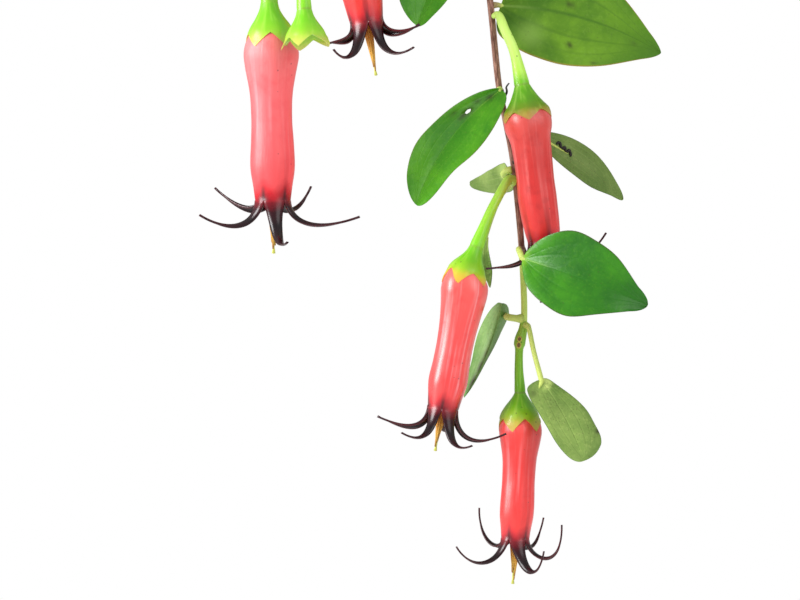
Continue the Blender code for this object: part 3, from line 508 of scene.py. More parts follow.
def makeCorollaFinish(name):
    # along is 0 where the calyx holds the tube, 1 at the throat and 2 at the tip of a lobe. mark is 1 down
    # the middle of a lobe and of the rib above it.
    looks = corollaLooks[name]
    material, tree, shader = newFinish(name)
    along, across, mark = (painted(tree, label) for label in ("along", "across", "mark"))
    place = objectPlace(tree)
    ragged = times(tree, calc(tree, "SUBTRACT", noiseValue(tree, place, 420.0, 2.0), 0.5), 0.05)
    sideways = times(tree, calc(tree, "SUBTRACT", 1.0, mark), 0.05)
    share = times(tree, calc(tree, "ADD", calc(tree, "ADD", along, ragged), sideways), 0.5)
    colour = ramp(tree, share, (
        (0.0, looks["top"]), (0.07, looks["bulge"]), (0.2, looks["middle"]), (0.455, looks["low"]),
        (0.49, (190, 20, 34)), (0.52, (112, 8, 24)), (0.57, (46, 5, 15)), (0.66, (18, 6, 10)),
        (1.0, (56, 22, 30)),
    ))
    streaks = streakValue(tree, along, across, 0.3, 4.4)
    paler = remap(tree, streaks, 0.48, 0.72, 0.0, looks["streaks"])
    onTube = remap(tree, share, 0.38, 0.49, 1.0, 0.0)
    colour = blend(tree, times(tree, paler, onTube), colour, looks["streak"])
    cloud = noiseValue(tree, place, 300.0, 5.0, 0.3)
    deeper = times(tree, remap(tree, cloud, 0.45, 0.75, 0.0, 0.45), onTube)
    colour = blend(tree, deeper, colour, looks["deep"])
    specks = speckMask(tree, place, 900.0, 0.2, 0.06)
    colour = blend(tree, times(tree, times(tree, specks, onTube), 0.5), colour, (120, 30, 30))
    split = times(tree, remap(tree, mark, 0.0, 0.1, 0.75, 0.0), remap(tree, along, 0.9, 0.97))
    colour = blend(tree, split, colour, (40, 8, 16))
    seam = times(tree, remap(tree, mark, 0.0, 0.22, looks["seams"], 0.0), remap(tree, along, 0.62, 0.9))
    dress(tree, shader, {
        "Base Color": blend(tree, seam, colour, (110, 12, 24)),
        "Roughness": remap(tree, share, 0.47, 0.56, 0.42, 0.26), "Specular IOR Level": 0.35,
        "Coat Weight": remap(tree, share, 0.47, 0.56, looks["coat"], 0.0), "Coat Roughness": 0.3,
        "Subsurface Weight": 0.06, "Subsurface Radius": (1.0, 0.25, 0.2), "Subsurface Scale": unit,
    })
    fine = streakValue(tree, along, across, 1.4, 9.0)
    relief = calc(tree, "ADD", streaks, times(tree, fine, 0.5))
    addBump(tree, shader, times(tree, relief, onTube), 0.5, 0.3)
    return material


calyxLooks = {
    "calyxLime": {
        "body": ((0.0, (182, 226, 90)), (0.3, (152, 208, 50)), (0.57, (124, 204, 26)),
                 (0.62, (108, 188, 16)), (0.74, (112, 192, 16)), (0.84, (144, 198, 28)),
                 (0.9, (190, 190, 42)), (1.0, (218, 170, 56))),
        "tooth": (228, 172, 64), "joint": (128, 150, 50), "specks": 0.05,
    },
    "calyxFresh": {
        "body": ((0.0, (182, 226, 90)), (0.3, (152, 208, 50)), (0.57, (124, 204, 26)),
                 (0.62, (112, 194, 18)), (0.74, (116, 198, 18)), (0.84, (138, 204, 34)),
                 (0.9, (160, 206, 54)), (1.0, (196, 200, 84))),
        "tooth": (200, 198, 92), "joint": (128, 150, 50), "specks": 0.0,
    },
    "calyxOlive": {
        "body": ((0.0, (208, 244, 120)), (0.3, (208, 246, 122)), (0.5, (184, 236, 84)),
                 (0.58, (120, 196, 30)), (0.66, (92, 164, 0)), (0.78, (86, 150, 0)),
                 (0.86, (104, 138, 12)), (0.91, (146, 138, 36)), (1.0, (180, 134, 62))),
        "tooth": (180, 132, 68), "joint": (120, 150, 50), "specks": 0.05,
    },
    "calyxShaded": {
        "body": ((0.0, (140, 180, 60)), (0.3, (120, 178, 30)), (0.57, (100, 168, 14)),
                 (0.62, (98, 168, 8)), (0.74, (108, 174, 12)), (0.84, (146, 180, 34)),
                 (0.9, (184, 174, 56)), (1.0, (206, 162, 66))),
        "tooth": (200, 168, 74), "joint": (110, 120, 50), "specks": 0.2,
    },
}


def makeCalyxFinish(name):
    # along runs down the stalk to the points of the teeth, with the joint at 0.6. mark is 1 on the rim of a
    # tooth, 2 on an old scar, and under 0 in the joint.
    looks = calyxLooks[name]
    material, tree, shader = newFinish(name)
    along, across, mark = (painted(tree, label) for label in ("along", "across", "mark"))
    place = objectPlace(tree)
    ragged = times(tree, calc(tree, "SUBTRACT", noiseValue(tree, place, 500.0, 2.0), 0.5), 0.06)
    colour = ramp(tree, calc(tree, "ADD", along, ragged), looks["body"])
    streaks = streakValue(tree, along, across, 2.0, 3.0)
    paler = remap(tree, streaks, 0.45, 0.75, 0.0, 0.25)
    colour = blend(tree, paler, colour, (206, 240, 110))
    colour = blend(tree, remap(tree, mark, 0.2, 1.0, 0.0, 0.7), colour, looks["tooth"])
    colour = blend(tree, remap(tree, mark, 1.2, 2.0, 0.0, 0.9), colour, (96, 58, 36))
    colour = blend(tree, remap(tree, mark, -1.0, -0.2, 0.55, 0.0), colour, looks["joint"])
    specks = speckMask(tree, place, 800.0, 0.22, looks["specks"])
    dress(tree, shader, {
        "Base Color": blend(tree, times(tree, specks, 0.5), colour, (70, 66, 24)),
        "Roughness": 0.4, "Specular IOR Level": 0.4, "Coat Weight": 0.12,
        "Subsurface Weight": 0.06, "Subsurface Radius": (0.5, 1.0, 0.2), "Subsurface Scale": unit,
    })
    addBump(tree, shader, streaks, 0.25, 0.15)
    return material


stemLooks = {
    "bark": (180, 132, 114), "barkDark": (104, 64, 50), "node": (200, 140, 92), "dry": (26, 16, 14),
    "young": (208, 232, 112), "youngDark": (172, 196, 80),
}


def makeStemFinish():
    # mark runs from 0, woody, to 1, this year's green growth. Over 1 it is the russet of a node, and at 3
    # it is dry and dark.
    looks = stemLooks
    material, tree, shader = newFinish("stem")
    along, across, mark = (painted(tree, label) for label in ("along", "across", "mark"))
    streaks = streakValue(tree, along, across, 60.0, 2.4)
    wood = blend(tree, remap(tree, streaks, 0.35, 0.65), looks["barkDark"], looks["bark"])
    fresh = blend(tree, remap(tree, streaks, 0.4, 0.7, 0.0, 0.5), looks["young"], looks["youngDark"])
    colour = blend(tree, remap(tree, mark, 0.05, 0.95), wood, fresh)
    colour = blend(tree, remap(tree, mark, 1.2, 2.0), colour, looks["node"])
    colour = blend(tree, remap(tree, mark, 2.4, 2.8), colour, looks["dry"])
    dress(tree, shader, {"Base Color": colour, "Roughness": remap(tree, mark, 0.0, 1.0, 0.72, 0.42)})
    fine = noiseValue(tree, objectPlace(tree), 1600.0, 3.0)
    addBump(tree, shader, calc(tree, "ADD", streaks, times(tree, fine, 0.5)), 0.6, 0.25)
    return material


def makeStamenFinish():
    material, tree, shader = newFinish("stamens")
    along, mark = painted(tree, "along"), painted(tree, "mark")
    stops = ((0.0, (196, 112, 40)), (0.55, (214, 134, 44)), (0.85, (228, 176, 70)), (1.0, (150, 100, 40)))
    colour = blend(tree, mark, ramp(tree, along, stops), (206, 214, 96))
    grain = noiseValue(tree, objectPlace(tree), 2200.0, 2.0)
    colour = blend(tree, remap(tree, grain, 0.5, 0.8, 0.0, 0.3), colour, (120, 62, 20))
    dress(tree, shader, {"Base Color": colour, "Roughness": 0.5})
    addBump(tree, shader, grain, 0.4, 0.08)
    return material


def makeWireFinish():
    material, tree, shader = newFinish("blackWire")
    place = objectPlace(tree)
    worn = remap(tree, noiseValue(tree, place, 90.0, 6.0, 0.6), 0.62, 0.74, 0.0, 0.45)
    dress(tree, shader, {
        "Base Color": blend(tree, worn, (22, 23, 24), (84, 60, 44)),
        "Roughness": calc(tree, "ADD", times(tree, worn, 0.6), 0.34), "Specular IOR Level": 0.6,
    })
    addBump(tree, shader, noiseValue(tree, place, 900.0, 3.0), 0.3, 0.12)
    return material


def makeCoirFinish():
    material, tree, shader = newFinish("coir")
    place = objectPlace(tree)
    threads = edgeMiss(tree, place, 420.0)
    shade = noiseValue(tree, place, 60.0, 5.0, 1.2)
    colour = ramp(tree, shade, ((0.3, (74, 46, 26)), (0.5, (122, 82, 46)), (0.72, (164, 120, 72))))
    colour = blend(tree, painted(tree, "mark"), colour, (184, 140, 88))
    groove = remap(tree, threads, 0.0, 0.12, 0.75, 0.0)
    dress(tree, shader, {"Base Color": blend(tree, groove, colour, (44, 26, 14)), "Roughness": 0.92})
    addBump(tree, shader, calc(tree, "ADD", threads, shade), 0.9, 0.8)
    return material


def makeSoilFinish():
    # mark is 0 on the crumbs, 1 on a chip of bark and 2 on perlite.
    material, tree, shader = newFinish("pottingMix")
    place = objectPlace(tree)
    mark = painted(tree, "mark")
    crumbs = noiseValue(tree, place, 260.0, 8.0)
    colour = ramp(tree, crumbs, ((0.3, (22, 14, 9)), (0.5, (46, 31, 20)), (0.75, (84, 60, 40))))
    patches = noiseValue(tree, place, 150.0, 5.0, 2.0)
    chip = ramp(tree, patches, ((0.3, (70, 40, 22)), (0.55, (128, 82, 48)), (0.8, (168, 122, 80))))
    colour = blend(tree, remap(tree, mark, 0.2, 0.6), colour, chip)
    colour = blend(tree, remap(tree, mark, 1.2, 1.8), colour, (226, 222, 210))
    dress(tree, shader, {"Base Color": colour, "Roughness": 0.9})
    addBump(tree, shader, crumbs, 0.8, 0.9)
    return material


def makeCrownFinish():
    material, tree, shader = newFinish("crownBark")
    place = objectPlace(tree)
    cracks = edgeMiss(tree, place, 190.0)
    patches = noiseValue(tree, place, 80.0, 6.0, 0.8)
    colour = ramp(tree, patches, ((0.3, (62, 42, 30)), (0.52, (112, 84, 62)), (0.75, (152, 124, 98))))
    groove = remap(tree, cracks, 0.0, 0.16, 0.8, 0.0)
    dress(tree, shader, {"Base Color": blend(tree, groove, colour, (36, 24, 18)), "Roughness": 0.85})
    addBump(tree, shader, calc(tree, "ADD", cracks, patches), 0.8, 0.9)
    return material


finishes = {name: makeLeafFinish(name) for name in leafLooks}
finishes.update({name: makeCorollaFinish(name) for name in corollaLooks})
finishes.update({name: makeCalyxFinish(name) for name in calyxLooks})
finishes.update({"stem": makeStemFinish(), "stamens": makeStamenFinish(), "wire": makeWireFinish(),
                 "coir": makeCoirFinish(), "soil": makeSoilFinish(), "crown": makeCrownFinish()})
print("finishes made:", len(finishes))


# The hook, its three wires and the welded bowl of the basket. collar has pairs of distance and radius, bowl
# of radius and height, and a weld is its point of the bowl and its radius.

holder = {
    "hookInner": 11 * unit, "hookWire": 1.7 * unit, "hookNeck": ((0, 0, -35), (-2.6, 0, -28.5)),
    "hookSteps": 90, "hookArc": range(228, -40, -12), "collarBottom": -52 * unit,
    "collarLength": 10 * unit,
    "collar": ((0, 2.6), (0.6, 3.3), (1.4, 3.4), (4.2, 3.4), (4.6, 2.9), (5.2, 2.9), (5.6, 3.4),
               (8.6, 3.4), (9.6, 2.8), (10.4, 1.7)),
    "hangerWire": 0.9 * unit, "hangerAzimuths": (105, 225, 345),
    "hangerTop": ((2.0, -52.3), (2.5, -59.0)), "hangerBow": 2.5 * unit,
    "hangerShares": (0.04, 0.25, 0.5, 0.75, 0.99), "hangerSteps": 120, "windingFrom": 20 * unit,
    "windingLength": 9 * unit, "windingTurns": 5, "windingReach": 1.8, "windingWire": 0.8,
    "rimRadius": 100 * unit, "rimHeight": -330 * unit, "rimWire": 2.0 * unit, "ribWire": 1.1 * unit,
    "ringWire": 1.4 * unit, "crossWire": 1.0 * unit, "crossAzimuths": (15, 105), "ribCount": 12,
    "gap": 0.3 * unit, "welds": ((0, 2.3 * unit), (3, 1.9 * unit), (6, 1.9 * unit)),
    "bowl": ((100, -330), (99, -348), (95.5, -366), (88.5, -384), (77, -401), (60, -415), (36, -424)),
}


def roundedEnd(length, radius):
    # The last stations of a wire with a rounded end.
    return [(length - radius * (1 - math.sin(turn)), radius * math.cos(turn))
            for turn in (math.radians(angle) for angle in (20, 45, 65, 80, 87))]


def makeHook():
    centre = Vector((0, 0, -holder["hookInner"]))
    bend = holder["hookInner"] + holder["hookWire"]
    bottom = holder["collarBottom"]
    points = [Vector((0, 0, bottom)), Vector((0, 0, bottom + holder["collarLength"]))]
    points += [mm(place) for place in holder["hookNeck"]]
    for angle in holder["hookArc"]:
        turn = math.radians(angle)
        points.append(centre + Vector((math.cos(turn), 0, math.sin(turn))) * bend)
    path = Path(points, hint=(0, 1, 0))
    stations = [(place * unit, radius * unit) for place, radius in holder["collar"]]
    count = holder["hookSteps"]
    start = stations[-1][0]
    end = path.length - 1.2 * holder["hookWire"]
    stations += [(start + (end - start) * step / count, holder["hookWire"]) for step in range(1, count + 1)]
    stations += roundedEnd(path.length, holder["hookWire"])
    shape = Shape()
    shape.addTube(path, stations, 20)
    shape.makePiece("hangingHook", [finishes["wire"]], ["hanger_hook"], 40)


def makeHangerWire(number, azimuth):
    grip = holder["rimWire"] + holder["hangerWire"] + holder["gap"]
    points = [polar(azimuth, radius * unit, height * unit) for radius, height in holder["hangerTop"]]
    arc = []
    for angle in range(20, -81, -20):
        turn = math.radians(angle)
        reach, rise = grip * math.cos(turn), grip * math.sin(turn)
        arc.append(polar(azimuth, holder["rimRadius"] + reach, holder["rimHeight"] + rise))
    top = points[1]
    for share in holder["hangerShares"]:
        bow = polar(azimuth, holder["hangerBow"] * 4 * share * (1 - share))
        points.append(top.lerp(arc[0], share) + bow)
    path = Path(points + arc, hint=polar(azimuth + 90))
    count = holder["hangerSteps"]
    end = path.length - holder["hangerWire"]
    stations = [(end * step / count, holder["hangerWire"]) for step in range(count)]
    stations += roundedEnd(path.length, holder["hangerWire"])
    shape = Shape()
    shape.addTube(path, stations, 12)
    # Where the wire meets the rim it is wound about itself, as the real hangers are finished.
    winding = []
    for step in range(61):
        share = step / 60
        place = path.length - holder["windingFrom"] + holder["windingLength"] * share
        point, _, across, up = path.frame(place)
        turn = share * holder["windingTurns"] * 2 * math.pi
        way = aroundAxis(across, up, turn)
        winding.append(point + way * holder["hangerWire"] * holder["windingReach"])
    coil = Path(winding, hint=(0, 0, 1), spanSteps=3)
    radius = holder["hangerWire"] * holder["windingWire"]
    shape.addTube(coil, [(coil.length * step / count, radius) for step in range(count + 1)], 8)
    shape.makePiece(f"hangerWire{number}", [finishes["wire"]], [f"hanger_wire_{number}"], 50)


def addRing(shape, radius, height, wire, around=144, sides=14):
    rows = []
    for step in range(around):
        azimuth = 360 * step / around
        row = []
        for index in range(sides):
            turn = 2 * math.pi * index / sides
            reach, rise = wire * math.cos(turn), wire * math.sin(turn)
            row.append(shape.addPoint(polar(azimuth, radius + reach, height + rise)))
        rows.append(row)
    shape.addWalls([list(reversed(row)) for row in rows + rows[:1]])


def addWeld(shape, centre, radius):
    # The small bead where a rib meets a ring.
    rows = []
    for rise in (-60, -25, 10, 45):
        turn = math.radians(rise)
        reach, height = radius * math.cos(turn), radius * math.sin(turn)
        ring = [centre + polar(60 * index + rise, reach, height) for index in range(6)]
        rows.append([shape.addPoint(point) for point in ring])
    shape.addWalls(rows)
    shape.addFan(list(reversed(rows[0])), shape.addPoint(centre - Vector((0, 0, radius))))
    shape.addFan(rows[-1], shape.addPoint(centre + Vector((0, 0, radius))))


def makeBasket():
    shape = Shape()
    bowl = [(radius * unit, height * unit) for radius, height in holder["bowl"]]
    addRing(shape, holder["rimRadius"], holder["rimHeight"], holder["rimWire"], 180, 16)
    addRing(shape, *bowl[3], holder["ringWire"])
    addRing(shape, *bowl[-1], holder["ringWire"], 96)
    for number in range(holder["ribCount"]):
        azimuth = 360 * number / holder["ribCount"]
        path = Path([polar(azimuth, radius, height) for radius, height in bowl], hint=polar(azimuth + 90))
        stations = [(path.length * step / 44, holder["ribWire"]) for step in range(45)]
        shape.addTube(path, stations, 12)
        for index, size in holder["welds"]:
            addWeld(shape, polar(azimuth, *bowl[index]), size)
    reach, height = bowl[-1]
    for number, azimuth in enumerate(holder["crossAzimuths"]):
        level = height - number * holder["crossWire"]
        path = Path([polar(azimuth, reach, level), polar(azimuth, -reach, level)])
        shape.addTube(path, [(path.length * step / 12, holder["crossWire"]) for step in range(13)], 12)
    shape.makePiece("basketFrame", [finishes["wire"]], ["basket_frame"], 50)


makeHook()
for number, azimuth in enumerate(holder["hangerAzimuths"], 1):
    makeHangerWire(number, azimuth)
makeBasket()
print("hook, wires and basket made")


# The coir liner, with its loose fibres, and the potting mix in it.

filling = {
    "linerThickness": 7 * unit, "linerLip": 4 * unit, "linerBaseInset": 3 * unit, "lumps": 0.7 * unit,
    "sides": 128, "fibres": 1500, "fibreRadius": (0.12 * unit, 0.24 * unit),
    "fibreLength": (9 * unit, 24 * unit), "lip": ((90.5, 0.2), (94, 0.9), (97.2, 0.4)), "lipFibres": 300,
    "soilHeight": -342 * unit, "soilDish": 2 * unit, "soilLumps": 1.1 * unit, "soilSides": 120,
    "chips": 420, "chipSize": (2.2, 6.0), "perlite": 60, "perliteSize": (1.6, 2.8), "seed": 9,
}


def linerOutside():
    bowl = holder["bowl"]
    clearance = holder["ringWire"] + 2 * holder["gap"]
    profile = [(bowl[-1][0] * unit - filling["linerBaseInset"], bowl[-1][1] * unit + clearance)]
    for index in range(len(bowl) - 2, 0, -1):
        slope = (Vector(bowl[index - 1]) - Vector(bowl[index + 1])).normalized()
        radius, height = bowl[index]
        profile.append((radius * unit - slope.y * clearance, height * unit + slope.x * clearance))
    rim = holder["rimRadius"] - holder["rimWire"] - 2 * holder["gap"]
    return profile + [(rim, holder["rimHeight"]), (rim, holder["rimHeight"] + filling["linerLip"])]


def linerInside():
    outside = linerOutside()
    thickness = filling["linerThickness"]
    profile = [(radius - thickness, height) for radius, height in reversed(outside[2:])]
    radius, height = outside[1]
    profile.append((radius - thickness * 0.8, height + thickness * 0.7))
    return profile + [(outside[0][0] - thickness * 0.3, outside[0][1] + thickness)]


def profilePath(profile):
    return Path([Vector((radius, 0, height)) for radius, height in profile], hint=(0, 1, 0))


def addTurned(shape, places, sides, lump):
    # A turned skin from (radius, height) pairs, roughened by lumps.
    rows = []
    for radius, height in places:
        row = []
        for index in range(sides):
            point = polar(360 * index / sides, radius, height)
            push = noise.fractal(point * 90, 0.6, 2.2, 4) * lump
            point += Vector((point.x, point.y, 0)).normalized() * push + Vector((0, 0, push * 0.6))
            row.append(shape.addPoint(point))
        rows.append(row)
    shape.addWalls(rows)
    for row, turned in ((rows[0], True), (rows[-1], False)):
        ends = [Vector(shape.points[number]) for number in row]
        middle = shape.addPoint(sum(ends, Vector()) / len(ends))
        shape.addFan(list(reversed(row)) if turned else row, middle)


def evenPlaces(path, step):
    count = math.ceil(path.length / step)
    return [path.frame(path.length * index / count) for index in range(count + 1)]


def addFibre(shape, path, azimuth, rng):
    # One loose thread that lies on the liner's skin, and lifts off it in the middle.
    place = path.length * rng.uniform(0.02, 0.98)
    length = rng.uniform(*filling["fibreLength"])
    slant = rng.uniform(-1.2, 1.2)
    points = []
    for step in range(5):
        share = step / 4 - 0.5
        spot, _, _, _ = path.frame(min(max(place + share * length * math.cos(slant), 0), path.length))
        swing = math.degrees(share * length * math.sin(slant) / max(spot.x, 0.02))
        lift = 0.7 * unit + rng.uniform(0, 1.1) * unit * (1 - abs(share) * 1.6)
        turn = azimuth + swing + rng.uniform(-0.6, 0.6)
        points.append(polar(turn, spot.x + lift, spot.z + rng.uniform(-0.8, 0.8) * unit))
    fibre = Path(points, hint=(0, 0, 1), spanSteps=3)
    radius = rng.uniform(*filling["fibreRadius"])
    tone = rng.uniform(0.0, 0.9)
    stations = [(fibre.length * step / 8, radius * (1 - 0.5 * abs(step / 4 - 1))) for step in range(9)]
    shape.addTube(fibre, stations, 3, lambda place: tone)


def makeLiner():
    rng = random.Random(filling["seed"])
    outside, inside = profilePath(linerOutside()), profilePath(linerInside())
    places = [(point.x, point.z) for point, _, _, _ in evenPlaces(outside, 3.5 * unit)]
    places += [(point.x, point.z) for point, _, _, _ in evenPlaces(inside, 5 * unit)]
    shape = Shape()
    addTurned(shape, places, filling["sides"], filling["lumps"])
    for _ in range(filling["fibres"]):
        addFibre(shape, outside, rng.uniform(0, 360), rng)
    top = holder["rimHeight"] + filling["linerLip"]
    lip = profilePath([(radius * unit, top + rise * unit) for radius, rise in filling["lip"]])
    for _ in range(filling["lipFibres"]):
        addFibre(shape, lip, rng.uniform(0, 360), rng)
    shape.makePiece("coirLiner", [finishes["coir"]], ["coir_liner"])


def addChip(shape, centre, size, rng, mark):
    # A broken flake of bark: a crooked box with no two edges alike.
    turn = Matrix.Rotation(rng.uniform(0, 6.3), 3, "Z") @ Matrix.Rotation(rng.uniform(-0.5, 0.5), 3, "X")
    half = Vector((size, size * rng.uniform(0.4, 0.8), size * rng.uniform(0.18, 0.4))) * unit / 2
    rows = []
    for rise, shrink in ((-1, 0.75), (-0.4, 1.0), (0.5, 0.95), (1, 0.7)):
        row = []
        for side in range(7):
            way = polar(side * 360 / 7 + rng.uniform(-14, 14), rng.uniform(0.75, 1.15) * shrink, rise)
            spot = centre + turn @ Vector((way.x * half.x, way.y * half.y, way.z * half.z))
            row.append(shape.addPoint(spot, mark=mark))
        rows.append(row)
    shape.addWalls(rows)
    shape.addFace(reversed(rows[0]))
    shape.addFace(rows[-1])


def soilTop(radius):
    edge = linerInside()[0][0]
    return filling["soilHeight"] - filling["soilDish"] * easeIn(radius, 0.4 * edge, edge)


def makeSoil():
    rng = random.Random(filling["seed"] + 1)
    gap = holder["gap"]
    inside = [(radius - gap, height + gap) for radius, height in reversed(linerInside())]
    body = [place for place in inside if place[1] < filling["soilHeight"] - 2 * filling["soilDish"]]
    edge = inside[-2][0] - gap
    radii = [edge * (1 - 0.04 * step) for step in range(18)]
    places = body + [(radius, soilTop(radius)) for radius in radii]
    shape = Shape()
    addTurned(shape, places, filling["soilSides"], filling["soilLumps"])
    for number in range(filling["chips"] + filling["perlite"]):
        radius = math.sqrt(rng.uniform(0.09, 0.9)) * edge
        centre = polar(rng.uniform(0, 360), radius, soilTop(radius) + rng.uniform(0, 1.6) * unit)
        if number < filling["chips"]:
            addChip(shape, centre, rng.uniform(*filling["chipSize"]), rng, rng.uniform(0.5, 1.0))
        else:
            addChip(shape, centre, rng.uniform(*filling["perliteSize"]), rng, 2.0)
    shape.makePiece("pottingMix", [finishes["soil"]], ["potting_mix"], 45)


makeLiner()
makeSoil()
print("liner and potting mix made")


# The woody crown and the leaf blades.

plant = {
    "crownRadius": 21 * unit, "crownExitAngle": 36, "crownLumps": ((3, 0.025, 0.6), (5, 0.012, 0.0)),
    "stemRunOut": 16 * unit, "stemOverRim": 62 * unit, "gap": 0.3 * unit,
    "freeRadii": (1.5 * unit, 0.7 * unit), "shownRadii": (1.6 * unit, 0.85 * unit), "nodeSwell": 0.45,
    "petiole": 0.75 * unit, "thickness": 0.45 * unit, "shownRows": 56, "shownColumns": 30, "freeRows": 18,
    "freeColumns": 10, "shownStations": (0.03, 0.1, 0.3, 0.5, 0.7, 0.9),
    "ribShares": (0.04, 0.14, 0.26, 0.4), "stalkMark": 0.72,
}
plantFoot = Vector((0, 0, filling["soilHeight"] + plant["gap"]))


def crownReach(way):
    turn = math.atan2(way.y, way.x)
    lumps = sum(depth * math.sin(count * turn + start) for count, depth, start in plant["crownLumps"])
    return plant["crownRadius"] * (1 + lumps)


def makeCrown():
    shape = Shape()
    rows = []
    for rise in [2 + 3.6 * step for step in range(24)]:
        row = []
        for index in range(72):
            out = polar(5 * index, math.cos(math.radians(rise)), math.sin(math.radians(rise)))
            bump = noise.fractal(out * 3.5, 0.7, 2.1, 5) * 1.8 * unit
            row.append(shape.addPoint(plantFoot + out * (crownReach(out) + bump)))
        rows.append(row)
    shape.addWalls(rows)
    shape.addFace(reversed(rows[0]))
    shape.addFan(rows[-1], shape.addPoint(plantFoot + Vector((0, 0, plant["crownRadius"]))))
    shape.makePiece("woodyCrown", [finishes["crown"]], ["woody_crown"])


def bladeWidth(stations, widths, baseRound, tipRound, share):
    # Half width along a blade, through the given places, with its two ends rounded or pointed.
    pairs = [(place, width / (place**baseRound * (1 - place)**tipRound))
             for place, width in zip(stations, widths)]
    return smoothValue(pairs, share) * share**baseRound * (1 - share)**tipRound


class Blade:
    # A leaf's surface, as a point for each share along and across it. The left side, seen from the front
    # with the tip up, has positive across.

    def __init__(self, leaf):
        self.leaf = leaf
        self.base, self.tip = leaf["base"], leaf["tip"]
        self.length = (self.tip - self.base).length
        along = (self.tip - self.base).normalized()
        facing = leaf["facing"]
        self.facing = (facing - along * facing.dot(along)).normalized()
        self.side = self.facing.cross(along)

    def middle(self, share):
        bulge = 4 * share * (1 - share)
        bow = self.facing * self.leaf["arch"] + self.side * self.leaf["sway"]
        return self.base.lerp(self.tip, share) + bow * bulge

    def width(self, share, left):
        leaf = self.leaf
        widths = leaf["left"] if left else leaf["right"]
        return bladeWidth(leaf["stations"], widths, leaf["baseRound"], leaf["tipRound"], share)

    def place(self, share, across):
        # The point there and the way that the blade faces.
        leaf = self.leaf
        left = across >= 0
        tilt = math.radians(leaf["tilts"][0 if left else 1])
        reach = self.width(share, left)
        away = abs(across)
        sign = 1 if left else -1
        point = self.middle(share) + self.side * sign * reach * away * math.cos(tilt)
        point = point + self.facing * reach * math.sin(tilt) * away**1.25
        ripple = noise.noise(Vector((share * 3.1, across * 1.3, leaf["seed"]))) * leaf["ripple"] * away
        turn = tilt * min(1.0, away * 3) * sign
        normal = self.facing * math.cos(turn) - self.side * math.sin(turn)
        return point + normal * ripple, normal


def blemishAndPaintedLight(leaf, share, across):
    # A brown mark over 0, or a pale patch under 0. Most are the leaf's own marks; leaf A's pale patch near
    # its base is painted light, and leaf F's marks are painted shade.
    marks = [0.0]
    for spotShare, spotAcross, length, breadth, strength in leaf["spots"]:
        miss = ((share - spotShare) / length) ** 2 + ((across - spotAcross) / breadth) ** 2
        marks.append(strength * math.exp(-miss))
    return max(marks, key=abs)


def holeMiss(hole, share, across):
    holeShare, holeAcross, length, breadth = hole
    return math.hypot((share - holeShare) / length, (across - holeAcross) / breadth)


def bladeGrid(leaf, rows, columns):
    # Places on the blade as (share, across), and the cells that an insect's hole leaves out.
    grid = []
    for row in range(1, rows):
        share = (1 - math.cos(math.pi * row / rows)) / 2
        turns = [math.pi / 2 * (1 - 2 * column / columns) for column in range(columns + 1)]
        grid.append([(share, math.sin(turn)) for turn in turns])
    hole = leaf["hole"]
    if not hole:
        return grid, set()
    lost = set()
    for row in range(rows - 2):
        for column in range(columns):
            share = (grid[row][column][0] + grid[row + 1][column][0]) / 2
            across = (grid[row][column][1] + grid[row][column + 1][1]) / 2
            if holeMiss(hole, share, across) < 1:
                lost.add((row, column))
    for row in range(1, rows - 2):
        for column in range(1, columns):
            cells = ((row, column), (row - 1, column), (row, column - 1), (row - 1, column - 1))
            if 0 < sum(cell in lost for cell in cells) < 4:
                share, across = grid[row][column]
                miss = holeMiss(hole, share, across)
                grid[row][column] = (hole[0] + (share - hole[0]) / miss,
                                     hole[1] + (across - hole[1]) / miss)
    return grid, lost


faceFinish, backFinish = 1, 2  # The stalk and the stem have 0.


def addHoleWall(shape, fronts, backs, lost):
    # Joins the two skins round the hole. Each side of a cell has its two corners and its neighbour.
    sides = (((0, 0), (0, 1), (-1, 0)), ((0, 1), (1, 1), (0, 1)),
             ((1, 1), (1, 0), (1, 0)), ((1, 0), (0, 0), (0, -1)))
    for row, column in lost:
        for (startRow, startColumn), (endRow, endColumn), (rowStep, columnStep) in sides:
            if (row + rowStep, column + columnStep) in lost:
                continue
            row1, column1 = row + startRow, column + startColumn
            row2, column2 = row + endRow, column + endColumn
            shape.addFace((backs[row2][column2], backs[row1][column1],
                           fronts[row1][column1], fronts[row2][column2]), backFinish)


def addBlade(shape, leaf, rows, columns):
    blade = Blade(leaf)
    half = plant["thickness"] / 2
    grid, lost = bladeGrid(leaf, rows, columns)
    fronts, backs = [], []
    for line in grid:
        fronts.append([])
        backs.append([])
        for share, across in line:
            point, normal = blade.place(share, across)
            lift = normal * half * math.sqrt(max(1 - across**4, 0.0)) * min(1.0, 12 * (1 - share))
            spot = blemishAndPaintedLight(leaf, share, across)
            front = shape.addPoint(point + lift, share, across, spot)
            atMargin = abs(across) > 0.9999
            fronts[-1].append(front)
            backs[-1].append(front if atMargin else shape.addPoint(point - lift, share, across, spot * 0.6))
    for row in range(len(grid) - 1):
        for column in range(columns):
            if (row, column) in lost:
                continue
            for skin, near, far, finish in (
                    (fronts, column, column + 1, faceFinish), (backs, column + 1, column, backFinish)):
                corners = (skin[row][near], skin[row][far], skin[row + 1][far], skin[row + 1][near])
                shape.addFace(corners, finish)
    addHoleWall(shape, fronts, backs, lost)
    for row, share in ((0, 0.0), (-1, 1.0)):
        corner = shape.addPoint(blade.place(share, 0.0)[0], share, 0.0)
        for column in range(columns):
            front = (fronts[row][column], fronts[row][column + 1], corner)
            back = (backs[row][column + 1], backs[row][column], corner)
            shape.addFace(front if share else front[::-1], faceFinish)
            shape.addFace(back if share else back[::-1], backFinish)
    return blade


